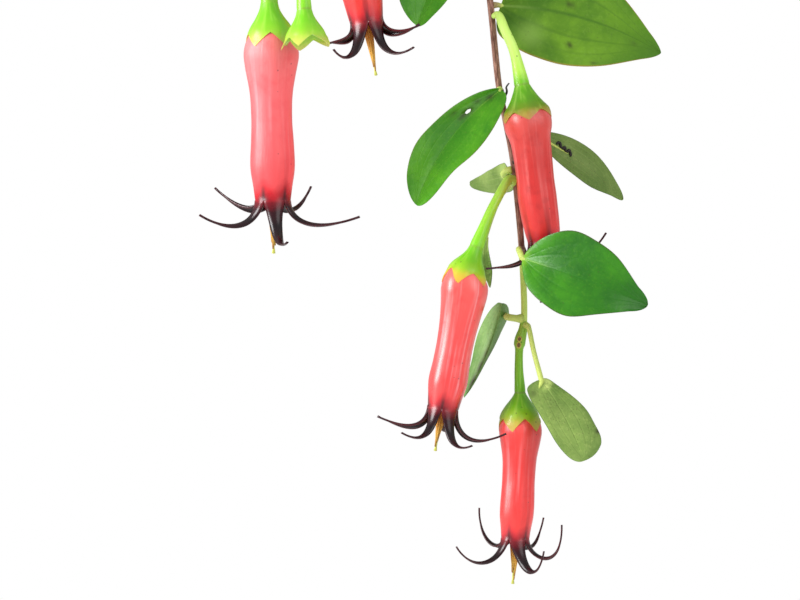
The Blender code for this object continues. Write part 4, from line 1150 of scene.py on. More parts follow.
def addPetiole(shape, points, blade, midribSide, shares, mark, size=1.0, foot=None):
    # The leaf's stalk, which runs on as a raised midrib on the blade. foot is the stalk's mark where it
    # leaves the stem, and the two distances, in millimetres, between which it turns into the full mark.
    start = len(points)
    thick = plant["petiole"] * size
    sink = 0.35 * plant["thickness"] if midribSide > 0 else 1.1 * thick
    for share in shares:
        point, normal = blade.place(*share) if isinstance(share, tuple) else blade.place(share, 0.0)
        points.append(point + normal * midribSide * sink)
    path = Path(points, hint=blade.side, spanSteps=8)
    stalkEnd = path.nearest(points[start])
    stations = []
    for step in range(25):
        place = path.length * step / 24
        if place < stalkEnd:
            radius = thick * (1.25 - 0.35 * easeIn(place, 0, 2 * unit)
                              + 0.08 * easeIn(place, stalkEnd * 0.6, stalkEnd))
        else:
            radius = thick * mix(0.95, 0.12, (place - stalkEnd) / (path.length - stalkEnd))
        stations.append((place, radius))
    woody, first, last = foot or (mark, 0, 1)
    shape.addTube(path, stations, 10,
                  lambda place: mix(woody, mark, easeIn(place, first * unit, last * unit)))


makeCrown()
print("crown made")


# Stems. Each carries the leaves that grow from it.


def stemRadius(path, radii, place):
    thick, thin = radii
    return thin + (thick - thin) * max(1 - place / path.length, 0) ** 2


def crownStart(azimuth):
    rise = math.radians(plant["crownExitAngle"])
    out = polar(azimuth, math.cos(rise), math.sin(rise))
    return plantFoot + out * (crownReach(out) + 1.7 * plant["gap"]), out


def stemPath(azimuth, over, trail):
    start, out = crownStart(azimuth)
    points = [start, start + out * plant["stemRunOut"]]
    points.append(polar(azimuth, plant["stemOverRim"], holder["rimHeight"] + over * 0.95))
    return Path(points + trail)


def trailingPoints(azimuth, over, reach, end, drift):
    side = polar(azimuth + 90) * drift
    rim = holder["rimHeight"]
    return [
        polar(azimuth, reach * 0.76, rim + over * 0.9),
        polar(azimuth, reach * 0.95, rim + over * 0.15),
        polar(azimuth, reach, rim - 30 * unit) + side * 0.4,
        polar(azimuth, reach + 2 * unit, end) + side,
    ]


def spaced(first, last, count):
    return [(first + (last - first) * index / (count - 1)) * unit for index in range(count)]


def addStem(shape, path, radii, nodes, youthOf):
    # The stem swells at each node, and is russet there where it is woody.
    count = math.ceil(path.length / (1.6 * unit))
    places = sorted({path.length * step / count for step in range(count)} | {
        node + shift * unit for node in nodes for shift in (-1.2, -0.6, 0, 0.6, 1.2)})
    stations = []
    for place in places:
        swell = sum(math.exp(-((place - node) / (1.3 * unit)) ** 2) for node in nodes)
        stations.append((place, stemRadius(path, radii, place) * (1 + plant["nodeSwell"] * swell)))
    stations += roundedEnd(path.length, stations[-1][1])

    def markOf(place):
        near = max([math.exp(-((place - node) / (1.0 * unit)) ** 2) for node in nodes] or [0])
        return youthOf(place) + near * 1.3 * (youthOf(place) < 0.9)

    shape.addTube(path, stations, 12, markOf)


freeLeaf = {
    "length": (30 * unit, 41 * unit), "halfWidth": (0.27, 0.31), "stalk": 4.5 * unit, "fold": (8, 20),
    "stations": (0.16, 0.48, 0.82), "widths": (0.78, 1.0, 0.55), "baseRound": 0.55, "tipRound": 0.75,
    "lean": (0.35, 0.7), "turn": 0.2, "sway": 1.5, "arch": (0.5, 2.5), "ripple": 1.2 * unit,
    "ribShares": (0.04, 0.14, 0.3, 0.5), "stalkMark": 0.62, "smaller": (0.62, 0.88),
    "nearCrown": (30 * unit, 22 * unit, 12 * unit),
}


def leafSeat(path, radii, place, aside, outShare):
    # The point on the stem where a leaf grows, the way that it grows, and the stem's ways along and out.
    point, along, _, _ = path.frame(place)
    outward = Vector((point.x, point.y, 0)).normalized()
    want = along.cross(outward).normalized() * aside + outward * outShare
    away = (want - along * want.dot(along)).normalized()
    return point + away * stemRadius(path, radii, place) * 0.8, away, along, outward


def growLeaf(seat, away, along, out, rng, share=1.0):
    # A leaf's size and how it leans and faces follow from where it sits.
    length = rng.uniform(*freeLeaf["length"]) * share
    width = length * rng.uniform(*freeLeaf["halfWidth"])
    lean = (away * 0.9 + along * rng.uniform(*freeLeaf["lean"]) + Vector((0, 0, -0.25))).normalized()
    base = seat + (away * 0.7 + lean * 0.3) * freeLeaf["stalk"]
    widths = [width * part for part in freeLeaf["widths"]]
    fold = rng.uniform(*freeLeaf["fold"])
    turn, sway = freeLeaf["turn"], freeLeaf["sway"]
    twist = Vector((rng.uniform(-turn, turn), rng.uniform(-turn, turn), 0))
    return {
        "base": base, "tip": base + lean * length, "left": widths, "right": widths,
        "stations": freeLeaf["stations"], "facing": out + Vector((0, 0, 0.55)) + twist,
        "tilts": (fold, fold), "sway": rng.uniform(-sway, sway) * unit,
        "arch": rng.uniform(*freeLeaf["arch"]) * unit, "ripple": freeLeaf["ripple"],
        "baseRound": freeLeaf["baseRound"], "tipRound": freeLeaf["tipRound"],
        "seed": length * 1e4, "spots": (), "hole": None,
    }


def makeLeafyStem(name, node, path, radii, leafPlaces, seed, youthOf, bracts=(), more=()):
    rng = random.Random(seed)
    shape = Shape()
    leaves = []
    for count, place in enumerate(leafPlaces):
        grown = leafSeat(path, radii, place, 1 if count % 2 else -1, rng.uniform(-0.15, 0.25))
        leaves.append((grown[0], growLeaf(*grown, rng)))
    # Smaller leaves stand between them, and three nearer the crown.
    between = [(first + second) / 2 for first, second in zip(leafPlaces, leafPlaces[1:])]
    nearCrown = [leafPlaces[0] - back for back in freeLeaf["nearCrown"]]
    rng = random.Random(seed + 500)
    for count, place in enumerate([*nearCrown, *between, *more]):
        aside = -0.8 if count % 4 in (0, 1) else 0.8
        grown = leafSeat(path, radii, place, aside, rng.uniform(0.1, 0.45))
        leaves.append((grown[0], growLeaf(*grown, rng, rng.uniform(*freeLeaf["smaller"]))))
    addStem(shape, path, radii, [*leafPlaces, *between, *more], youthOf)
    for seat, leaf in leaves:
        blade = addBlade(shape, leaf, plant["freeRows"], plant["freeColumns"])
        stalk = [seat, seat.lerp(leaf["base"], 0.5), leaf["base"].copy()]
        addPetiole(shape, stalk, blade, -1, freeLeaf["ribShares"], freeLeaf["stalkMark"])
    for bract in bracts:
        dry = Path([mm(place) for place in bract], spanSteps=6)
        sizes = [(dry.length * step / 12, mix(0.5, 0.18, step / 12) * unit) for step in range(13)]
        shape.addTube(dry, sizes, 8, lambda place: 3.0)
    materials = [finishes["stem"], finishes["leafUpper"], finishes["leafUnder"]]
    shape.makePiece(name, materials, [node])


frontTrail = (
    (14, -100, -294), (19, -128, -330), (21, -145, -390), (20.4, -150.5, -430), (21, -150.5, -453.5),
    (24.3, -150, -479), (26.5, -150, -500.6), (28.4, -150, -510.9), (30.5, -150, -522.2),
    (32.1, -150, -537.1), (32.9, -150, -547), (33.5, -150, -560), (33.5, -150, -567),
)
leftTrail = (
    (-20, -102, -296), (-23, -140, -330), (-21.5, -163, -385), (-20.6, -170.5, -427.9),
    (-25, -178, -446), (-31.2, -185, -462),
)

# Withered bracts that still stand at the front stem's nodes.
frontBracts = (
    ((27.4, -150.8, -503.2), (28.2, -152, -504.9), (28.8, -152.4, -503.8), (28.6, -152.4, -502.7),
     (29.4, -152.6, -501.6)),
    ((30.6, -151, -523.0), (31.6, -152, -522.2), (31.9, -152.4, -521.0)),
)

# Free stems: azimuth, height over the rim, reach, end height, sideways drift, leaf count.
freeStems = (
    (12, 38, 178, -492, 6, 11), (45, 30, 150, -424, -8, 9), (78, 42, 142, -420, 5, 9),
    (130, 34, 150, -418, -6, 9), (157, 28, 154, -424, 8, 9), (182, 40, 182, -520, -5, 12),
    (209, 30, 150, -430, 4, 9), (300, 26, 136, -428, 5, 9), (326, 34, 152, -436, 6, 9),
)

frontStem = stemPath(281, 36 * unit, [mm(place) for place in frontTrail])
leftStem = stemPath(257, 34 * unit, [mm(place) for place in leftTrail])
stemTurnsGreen = frontStem.nearest(mm((33.0, -150, -549)))
turnLength = 1.5 * unit
makeLeafyStem("frontStem", "front_stem", frontStem, plant["shownRadii"], spaced(62, 168, 6), 71,
              lambda place: easeIn(place, stemTurnsGreen - turnLength, stemTurnsGreen + turnLength),
              frontBracts, spaced(182, 206, 3))
makeLeafyStem("leftStem", "left_stem", leftStem, plant["shownRadii"], spaced(60, 150, 5), 72,
              lambda place: 0.0, (), spaced(166, 194, 3))
freePaths = []
for number, (azimuth, over, reach, end, drift, count) in enumerate(freeStems, 1):
    trail = trailingPoints(azimuth, over * unit, reach * unit, end * unit, drift * unit)
    path = stemPath(azimuth, over * unit, trail)
    freePaths.append(path)
    makeLeafyStem(f"leafyStem{number}", f"leafy_stem_{number}", path, plant["freeRadii"],
                  spaced(58, path.length / unit - 9, count), 80 + number,
                  lambda place, path=path: easeIn(place / path.length, 0.6, 0.85))
print("stems made:", 2 + len(freePaths))


# The nine leaves at the end of the front stem: the points of each stalk, the first of them aimed at from
# the stem, and then its blade. Half widths are in millimetres as seen along the way that it faces. A spot
# is its place along and across, its two half sizes and its mark, and a hole has the same but the mark.
# woodyFoot is the foot in addPetiole. Leaf A's last spot is painted light, and leaf F's spots are painted
# shade.

shownLeaves = {
    "A": {
        "stalk": ((26.5, -149.2, -480.0), (27.2, -148.4, -480.4)), "tip": (70.1, -155, -493.6),
        "woodyFoot": (0.3, 0.5, 3.0), "left": (5.5, 8.9, 12.5, 12.4, 8.6, 3.3),
        "right": (7.2, 10.0, 13.4, 13.7, 10.4, 4.3), "tilts": (4, 14), "sway": 3.0, "looks": "leafUpper",
        "baseRound": 0.35, "tipRound": 0.7, "ripple": 0.9,
        "spots": ((0.47, -0.6, 0.02, 0.05, 0.9), (0.83, -0.25, 0.02, 0.05, 0.7),
                  (0.64, -0.92, 0.02, 0.04, 0.6), (0.4, 0.2, 0.02, 0.05, 0.8),
                  # Painted light: a pale patch that lifts the shadow which flower A's stalk casts on this
                  # blade.
                  (0.22, -0.6, 0.1, 0.35, -0.5)),
    },
    "B": {
        "stalk": ((26.9, -151.6, -503.0), (27.2, -152.6, -503.4)), "tip": (4.3, -160, -534.6),
        "left": (2.9, 4.7, 7.3, 7.5, 5.3, 3.3), "right": (1.6, 2.9, 5.0, 6.2, 7.1, 5.3),
        "tilts": (22, 22), "sway": -3.1, "looks": "leafFresh", "baseRound": 0.4, "tipRound": 0.5,
        "ripple": 0.8,
        "spots": ((0.09, -0.1, 0.035, 0.26, 0.75), (0.17, -0.4, 0.03, 0.22, 0.6),
                  (0.262, -0.27, 0.05, 0.2, 0.85), (0.31, -0.28, 0.04, 0.13, 0.8),
                  (0.34, -0.7, 0.03, 0.12, 0.5)),
        "hole": (0.262, -0.27, 0.027, 0.1),
    },
    "C": {
        "stalk": ((31.0, -147.5, -513.3), (33.9, -146, -514.2)), "tip": (61.0, -138, -532.6),
        "left": (0.8, 1.7, 3.9, 4.8, 4.2, 2.0), "right": (0.6, 1.3, 3.1, 4.0, 3.7, 1.4),
        "tilts": (-30, 30), "sway": 1.7, "looks": "leafGrey", "under": True, "baseRound": 0.6,
        "tipRound": 0.6,
        "thread": ((0.275, 0.16), (0.285, 0.3), (0.3, 0.34), (0.315, 0.16), (0.34, 0.12), (0.35, 0.26),
                   (0.365, 0.1), (0.385, 0.08), (0.395, 0.22), (0.415, 0.1), (0.43, -0.06)),
    },
    "D": {
        "stalk": ((28.4, -149.6, -525.6), (28.0, -147.6, -525.9)), "base": (30.0, -145.5, -526.2),
        "tip": (19.4, -124, -527.7), "left": (3.4, 4.2, 4.1, 3.9, 3.1, 2.0),
        "right": (3.4, 3.6, 3.0, 2.4, 1.6, 0.9), "tilts": (-12, 12), "sway": 0.0, "looks": "leafGrey",
        "spots": ((0.1, -0.4, 0.14, 0.7, -0.9),), "under": True, "baseRound": 0.35, "tipRound": 0.3,
        "ribShares": (0.1, 0.2), "stalkSize": 1.3,
    },
    "E": {
        "stalk": ((32.1, -153, -546.2), (31.8, -156.6, -546.4), (32.1, -159.5, -547.4),
                  (32.8, -160.5, -549.0)),
        "tip": (65.4, -170, -561.4), "arch": 4.0, "left": (3.3, 6.6, 10.9, 10.6, 8.4, 3.5),
        "right": (2.7, 6.1, 9.8, 10.7, 7.4, 3.6), "tilts": (14, 14), "sway": 0.5, "looks": "leafDeep",
        "baseRound": 0.5, "tipRound": 0.5, "ripple": 1.1, "spots": ((0.0, 0.0, 0.05, 1.2, -0.7),),
        "stalkSize": 1.15, "woodyFoot": (0.15, 3.0, 8.0),
    },
    "F": {
        "stalk": ((31.0, -150.8, -564.9), (29.0, -150, -564.6)), "base": (27.5, -147.5, -560.9),
        "tip": (17.5, -142, -586.6), "left": (1.75, 2.5, 1.9, 1.1, 0.5, 0.2),
        "right": (1.25, 2.3, 3.8, 3.9, 2.8, 1.4), "tilts": (-66, -42), "sway": 1.3, "looks": "leafFold",
        "under": True, "baseRound": 0.35, "tipRound": 0.8, "ribShares": ((0.13, 0.8), (0.15, 0.5)),
        "stalkSize": 1.4,
        # Painted shade: these marks darken the fold and the folded strip of the blade, which lie in shade.
        "spots": ((0.4, -0.04, 0.07, 0.09, 0.6), (0.52, -0.06, 0.08, 0.12, 0.8),
                  (0.65, -0.08, 0.1, 0.15, 0.9), (0.82, -0.1, 0.1, 0.22, 0.95),
                  (0.6, 0.7, 0.35, 0.6, 0.5)),
    },
    "G": {
        "stalk": ((35.0, -152.5, -569.5), (36.0, -154, -574.0), (37.8, -157, -581.2)),
        "tip": (49.1, -164, -602.7), "left": (1.8, 2.6, 4.6, 6.1, 6.5, 5.8),
        "right": (4.4, 5.3, 5.6, 5.5, 5.2, 3.7), "tilts": (-24, 24), "sway": 0.8, "looks": "leafUnder",
        "under": True, "baseRound": 0.3, "tipRound": 0.4, "ribShares": ((0.03, -0.1), (0.09, -0.4)),
        "spots": ((0.76, 0.97, 0.025, 0.12, 1.0), (0.05, 0.5, 0.05, 0.4, -1.0),
                  (0.1, 0.1, 0.04, 0.3, -0.7), (0.12, -0.75, 0.04, 0.2, 0.4),
                  (0.35, -0.1, 0.2, 0.45, 0.16)),
    },
    "H": {
        "stalk": ((29.4, -147.6, -528.6), (27.2, -147.2, -532), (24.9, -146.5, -537.5),
                  (23.3, -146.2, -542.3)),
        "tip": (24.4, -147, -556.7), "left": (0.15, 0.3, 0.45, 0.75, 0.95, 0.5),
        "right": (0.4, 0.9, 1.7, 1.9, 1.6, 0.6), "tilts": (10, 10), "sway": 0.0, "looks": "leafUnder",
        "baseRound": 0.6, "tipRound": 0.7, "spots": ((0.75, 0.3, 0.02, 0.2, 1.0),),
    },
    "I": {
        "stalk": ((20.0, -151.8, -455.5), (19.6, -152.4, -457)), "tip": (4.5, -163, -487.1),
        "left": (1.2, 2.4, 4.6, 5.4, 5.4, 2.8), "right": (1.7, 3.4, 7.2, 9.0, 9.5, 6.8),
        "tilts": (20, 20), "sway": -1.4, "looks": "leafFresh", "baseRound": 0.6, "tipRound": 0.5,
    },
}


def seatOn(path, radii, point):
    place = path.nearest(point)
    centre, along, _, _ = path.frame(place)
    away = point - centre
    away = (away - along * away.dot(along)).normalized()
    return centre + away * stemRadius(path, radii, place) * 0.7, away


def makeShownLeaf(letter, given):
    stalk = [mm(place) for place in given["stalk"]]
    seat, away = seatOn(frontStem, plant["shownRadii"], stalk[0])
    leaf = {
        "base": mm(given.get("base", given["stalk"][-1])), "tip": mm(given["tip"]),
        "facing": Vector((0, -1, 0)),
        "tilts": given["tilts"], "stations": plant["shownStations"], "sway": given["sway"] * unit,
        "arch": given.get("arch", 0.0) * unit,
        "baseRound": given["baseRound"], "tipRound": given["tipRound"], "seed": ord(letter) * 3.7,
        "ripple": given.get("ripple", 0.5) * unit, "spots": given.get("spots", ()),
        "hole": given.get("hole"),
    }
    for half, tilt in zip(("left", "right"), given["tilts"]):
        leaf[half] = [width * unit / math.cos(math.radians(tilt)) for width in given[half]]
    shape = Shape()
    under = given.get("under", False)
    blade = addBlade(shape, leaf, plant["shownRows"], plant["shownColumns"])
    points = [seat, seat + away * 1.5 * unit, *stalk[1:]]
    ribShares = given.get("ribShares", plant["ribShares"])
    addPetiole(shape, points, blade, 1 if under else -1, ribShares, plant["stalkMark"],
               given.get("stalkSize", 1.0), given.get("woodyFoot"))
    if "thread" in given:
        spots = [blade.place(*place) for place in given["thread"]]
        thread = Path([point + normal * 0.3 * unit for point, normal in spots], spanSteps=6)
        sizes = [(thread.length * step / 40, (0.3 + 0.16 * math.sin(step * 0.47) ** 2) * unit)
                 for step in range(41)]
        shape.addTube(thread, sizes, 8, lambda place: 3.0)
    looks = finishes[given["looks"]]
    back = finishes["leafFresh" if under else "leafUnder"]
    node = f"leaf_{letter.lower()}"
    shape.makePiece(f"leaf{letter}", [finishes["stem"], looks, back], [node])


for letter, given in shownLeaves.items():
    makeShownLeaf(letter, given)
print("shown leaves made:", len(shownLeaves))


# Flowers: the points of the stalk, the middle of the cup's rim, the points of the tube, the scale, how far
# the stamens reach, the azimuth of one calyx tooth, how the tube swells, and the lobes. A lobe is an
# azimuth and three pulls, outward and upward from the throat. A scar is its place down the stalk, its
# azimuth and its length.

flowers = {
    "A": {
        "stalk": ((26.9, -152.2, -482.9), (28.1, -154.8, -487.4), (30.5, -156.3, -493),
                  (32.3, -157.2, -500.6)),
        "stalkSwells": ((0, 0.6), (0.1, 0.84), (0.2, 0.98), (0.4, 1.02), (0.7, 1.12), (1, 1.3)),
        "rim": (34.1, -157.5, -510.7),
        "tube": ((35.4, -157, -519.8), (37.0, -155.5, -533.2), (38.7, -154.1, -543.8)),
        "looks": "corollaDull", "calyx": "calyxOlive", "scale": 1.02, "stamens": 11, "tooth": 270,
        "teeth": (1.1, 2.4),
        "cup": ((9.5, 1.95), (8.0, 2.15), (7.0, 2.5), (5.9, 3.05), (4.6, 3.75), (3.0, 4.8), (1.5, 5.9),
                (0, 6.3)),
        "swells": (0.97, 1.0, 0.98, 0.86, 0.81, 0.79, 0.81, 0.79, 0.74, 0.68),
        "lobes": ((20, (5, -5), (12, -7), (17.9, 2.1)), (110, (5, -6), (11, -7), (15, 0)),
                  (205, (5, -6.0), (10, -7.2), (17.5, -7.6)), (262, (4.6, -9), (6, -15), (8.5, -16.5)),
                  (310, (4.8, -8), (8, -10), (10.5, -8))),
    },
    "B": {
        "stalk": ((28.0, -151.8, -528.4), (25.3, -153.5, -534.4), (23.4, -154.2, -538.5),
                  (20.4, -155.5, -546.2)),
        "rim": (17.7, -156, -553.8), "tube": ((16.9, -156, -560), (14.3, -156, -574), (11.5, -156, -589)),
        "looks": "corollaPink", "scale": 1.0, "stamens": 11.3, "tooth": 252,
        "swells": (0.88, 0.95, 1.0, 0.955, 0.85, 0.785, 0.79, 0.83, 0.73, 0.66),
        "lobes": ((352, (4.6, -7), (8, -11), (17, -6.5)), (80, (4.6, -6), (9, -8), (14, -3)),
                  (187, (5.0, -6.0), (10, -5.6), (17.6, -1.9)),
                  (228, (4.8, -8.2), (9.4, -8.9), (16.3, -5.9)),
                  (297, (4.5, -9), (7.2, -11.6), (16.3, -9.2))),
    },
    "C": {
        "stalk": ((33.5, -150, -565.8), (33.1, -150, -568.3), (32.4, -150, -571), (32.15, -150, -574),
                  (32.1, -150, -579), (32.4, -150, -585)),
        "direct": True, "rim": (32.4, -150, -592.4),
        "tube": ((32.4, -150, -598), (32.0, -150, -608), (31.1, -150, -624.3)), "looks": "corollaRed",
        "calyx": "calyxShaded", "scale": 0.91, "stamens": 12, "tooth": 246, "teeth": (0.5, 4.0),
        "stalkSwells": ((0, 0.9), (0.12, 1.05), (0.24, 1.3), (0.36, 1.34), (0.41, 1.0), (0.7, 1.02),
                        (1, 1.25)),
        "scars": ((6.5, 262, 2.2), (4.9, 260, 1.9)),
        "swells": (0.88, 0.96, 1.0, 0.94, 0.81, 0.77, 0.79, 0.80, 0.71, 0.66),
        "cup": ((9.5, 1.6), (8.0, 1.75), (7.2, 2.1), (5.9, 3.0), (4.6, 4.0), (3.0, 5.05), (1.5, 5.75),
                (0, 6.05)),
        "lobes": ((50, (5.5, -3.6), (9.5, -3.6), (12.2, 5.0)), (140, (6, -4), (12.6, -1), (12.1, 7.7)),
                  (197, (4.6, -6), (12, -9.2), (16.5, -1.8)), (300, (4.6, -9), (11, -12.4), (14, -2.6)),
                  (340, (4.8, -5), (13.3, -8.9), (12.9, 3.9))),
    },
    "D": {
        "stalk": ((-31.5, -187.5, -463.5), (-33.0, -191, -469), (-33.4, -193.5, -476),
                  (-33.5, -195, -484.5)),
        "rim": (-33.1, -195, -493.0),
        "tube": ((-33.1, -195, -503), (-32.8, -195, -519), (-32.6, -195, -534.4)), "looks": "corollaPaintedSheen",
        "calyx": "calyxFresh", "scale": 1.13, "stamens": 13.3, "tooth": 235,
        "swells": (0.85, 0.93, 0.99, 0.93, 0.78, 0.737, 0.775, 0.80, 0.70, 0.64),
        "lobes": ((55, (6, -3), (12, -2), (16, 4.1)), (150, (6, -3), (12, -1), (17.4, 3.6)),
                  (190, (5.5, -6), (11, -8.5), (18.8, -3.6)), (284, (5, -10), (8, -13), (17, -10.8)),
                  (345, (5.5, -5.5), (12, -8), (23, -4.1))),
    },
    "F": {
        "stalk": ((-20.2, -168, -429.5), (-18.6, -166.5, -435.4), (-17.4, -166, -440),
                  (-16.2, -166, -443.3)),
        "rim": (-15.3, -166, -449.1),
        "tube": ((-13.9, -166, -459), (-10.9, -166, -474), (-8.8, -166, -486.3)), "looks": "corollaDull",
        "scale": 1.06, "stamens": 14, "tooth": 250,
        "swells": (0.88, 0.95, 1.0, 0.955, 0.85, 0.785, 0.79, 0.80, 0.72, 0.66),
        "lobes": ((345, (5.5, -2), (9, -4), (14.5, -0.8)), (90, (5, -3), (10, -3), (14, 2)),
                  (200, (5, -5), (8, -5), (11, -5.8)), (236, (4.8, -10), (10, -12), (15, -8)),
                  (320, (4.8, -8), (9, -10.5), (16, -7.2))),
    },
}
spentCup = {
    "stalk": ((-26, -184, -455), (-24.6, -194, -461), (-24.4, -202, -470), (-24.6, -206, -480)),
    "rim": (-23.6, -207.5, -494.5), "end": (-23.2, -207.5, -498), "azimuth": 18, "tubeLength": 35 * unit,
    "scale": 0.98, "tooth": 252, "teeth": (0.8, 2.6), "spread": 0.2, "calyx": "calyxFresh",
}
# What the flowers share. cup has pairs of the distance before the rim and the radius, throatShade of the
# distance before the throat and the share of its radius, and scarRings have a reach, a rise and a mark.
blossom = {
    "tubeRadius": 6.3 * unit, "swellPlaces": (0, 0.03, 0.1, 0.18, 0.33, 0.5, 0.65, 0.8, 0.92, 1),
    "plainSwells": (0.88, 0.95, 1.0, 0.95, 0.84, 0.785, 0.79, 0.82, 0.73, 0.66), "pedicel": 1.25 * unit,
    "stalkSwells": ((0, 1.25), (0.08, 1.05), (0.4, 1.02), (0.7, 1.12), (1, 1.3)),
    "cup": ((9.5, 1.9), (8.0, 2.05), (7.0, 2.2), (5.9, 2.65), (4.6, 3.4), (3.0, 4.5), (1.5, 5.2),
            (0, 5.55)),
    "cupLength": 9.5 * unit, "joint": 8.2, "cupWall": 0.45 * unit, "wall": 0.55 * unit, "tubeFoot": 2.6,
    "teeth": (1.2, 3.3), "toothSpread": 35, "toothLead": 2.5, "toothLift": 0.14 * unit,
    "ribDepth": ((0, 0.02), (0.12, 0.032), (0.35, 0.01), (0.8, 0.014), (1, 0.01)),
    "throatShade": ((3.0, 0.84), (1.5, 0.82), (0.2, 0.7), (-0.8, 0.5)),
    "lobeWidths": ((0, 2.5), (0.05, 2.35), (0.12, 1.95), (0.25, 1.55), (0.45, 1.2), (0.65, 0.8),
                   (0.85, 0.38), (1, 0.06)),
    "lobeCurls": ((0, 0.33), (0.15, 0.5), (0.4, 0.7), (1, 0.8)),
    "scarRings": ((1.0, -0.35, 0.0), (0.9, 0.1, 0.8), (0.72, 0.26, 1.0), (0.5, 0.2, 2.0),
                  (0.25, 0.14, 2.0)),
    "lobeLead": 6 * unit, "antherRadius": 0.4 * unit, "antherTips": (0.62, 0.92), "antherDepth": 6,
    "anthers": 10,
}


def bezierPoint(controls, share):
    a, b, c, d = controls
    rest = 1 - share
    point = a * rest**3 + b * 3 * rest**2 * share + c * 3 * rest * share**2 + d * share**3
    way = (b - a) * rest**2 + (c - b) * 2 * rest * share + (d - c) * share**2
    return point, way.normalized()


def toothHeight(azimuth, toothAzimuth):
    # 1 at the point of each of the five teeth, and 0 between them.
    away = (azimuth - toothAzimuth + 36) % 72 - 36
    return max(0.0, 1 - abs(away) / blossom["toothSpread"]) ** 1.15


def swellAt(swells, share):
    return smoothValue(list(zip(blossom["swellPlaces"], swells)), share)


def tubeRadiusAt(swells, scale, length, past, turn):
    # The tube's radius at a distance past the cup's rim. Before the rim it narrows into the cup.
    full = blossom["tubeRadius"] * scale
    if past < 0:
        back = -past / (unit * scale)
        return full * swells[0] * (1 - 0.04 * back - 0.02 * back * back)
    share = min(past / length, 1.0)
    ribs = smoothValue(blossom["ribDepth"], share) * math.cos(5 * turn)
    return full * swellAt(swells, share) * (1 + ribs)


def makeCalyx(name, path, rim, tubeLength, given, swells, node, sides=60, spread=0.0):
    # Stalk and toothed cup in one. A cup with spread stands open, and its inside is closed further back.
    scale, tooth = given["scale"], given["tooth"]
    size = unit * scale
    stalk = rim - blossom["cupLength"] * scale
    stalkSwells = given.get("stalkSwells", blossom["stalkSwells"])
    profile = [(stalk * share, blossom["pedicel"] * scale * swell) for share, swell in stalkSwells]
    profile = [pair for pair in profile if pair[0] < stalk * 0.99]
    profile += [(rim - back * size, radius * size) for back, radius in given.get("cup", blossom["cup"])]
    joint = rim - blossom["joint"] * size
    rise, toothLength = (value * size for value in given.get("teeth", blossom["teeth"]))
    valley = rim - rise
    end = valley + toothLength
    proud = smoothValue(profile, valley) - tubeRadiusAt(swells, scale, tubeLength, valley - rim, 0.0)
    rows = []
    shape = Shape()

    def addRow(place, inward, stretch):
        row = []
        for index in range(sides):
            turn = 2 * math.pi * index / sides
            _, _, across, up = path.frame(min(place, path.length))
            outward = aroundAxis(across, up, turn)
            azimuth = math.degrees(math.atan2(outward.y, outward.x))
            height = toothHeight(azimuth, tooth)
            here = place + height * toothLength * stretch
            point, _, across, up = path.frame(here)
            outward = aroundAxis(across, up, turn)
            if here > valley:
                share = (here - valley) / toothLength
                lift = mix(proud, blossom["toothLift"], easeIn(share, 0, 0.7)) + spread * (here - valley)
                radius = tubeRadiusAt(swells, scale, tubeLength, here - rim, turn) + lift
            else:
                radius = smoothValue(profile, here)
                ribs = math.cos(5 * math.radians(azimuth - tooth)) * (here < valley)
                radius *= 1 + 0.03 * ribs * easeIn(here, joint, valley)
            notch = 1 - 0.06 * math.exp(-((here - joint) / (0.35 * unit)) ** 2)
            edge = max(stretch - 0.25, 0) * 1.33 * (0.25 + 0.75 * height)
            ring = math.exp(-((here - joint) / (0.4 * unit)) ** 2)
            along = 0.6 * here / joint if here < joint else 0.6 + 0.4 * (here - joint) / (end - joint)
            spot = point + outward * (radius * notch - inward * (1 - 0.7 * height * stretch))
            row.append(shape.addPoint(spot, min(along, 1), index / sides, edge - ring))
        rows.append(row)

    lead = blossom["toothLead"] * size
    count = math.ceil((valley - lead) / (0.6 * unit))
    for step in range(count + 1):
        addRow((valley - lead) * step / count, 0.0, 0.0)
    for step in range(1, 9):
        addRow(valley - lead * (1 - step / 8), 0.0, step / 8)
    thickness = blossom["cupWall"]
    addRow(valley, thickness, 0.97)
    for step in range(1, 4):
        addRow(valley - 1.6 * size * step / 3, thickness * (1 + step / 2), 0.97 * (1 - step / 3))
    if spread:
        for back in (3.0, 4.6):
            addRow(valley - back * size, thickness * 2.2, 0.0)
    shape.addWalls(rows)
    shape.addFace(reversed(rows[0]))
    shape.addFace(rows[-1])
    for scar in given.get("scars", ()):
        addScar(shape, path, profile, *scar)
    shape.makePiece(name, [finishes[given.get("calyx", "calyxLime")]], [node], 60)


def addScar(shape, path, profile, place, azimuth, length):
    # A healed scar: a low cushion with a pale rim round a brown middle.
    place, length = place * unit, length * unit
    centre, along, _, _ = path.frame(place)
    out = polar(azimuth)
    out = (out - along * out.dot(along)).normalized()
    side = along.cross(out)
    radius = smoothValue(profile, place)
    rings = []
    for reach, rise, mark in blossom["scarRings"]:
        ring = []
        for index in range(20):
            turn = 2 * math.pi * index / 20
            aside = math.cos(turn) * reach * 0.75 * unit
            depth = math.sqrt(max(radius**2 - aside**2, 0))
            lift = out * (depth + rise * unit)
            spot = centre + along * math.sin(turn) * reach * length / 2 + side * aside + lift
            ring.append(shape.addPoint(spot, 0.3, 0.5, mark))
        rings.append(ring)
    shape.addWalls(rings)
    shape.addFace(reversed(rings[0]))
    shape.addFan(rings[-1], shape.addPoint(centre + out * (radius + 0.12 * unit), 0.3, 0.5, 2.0))


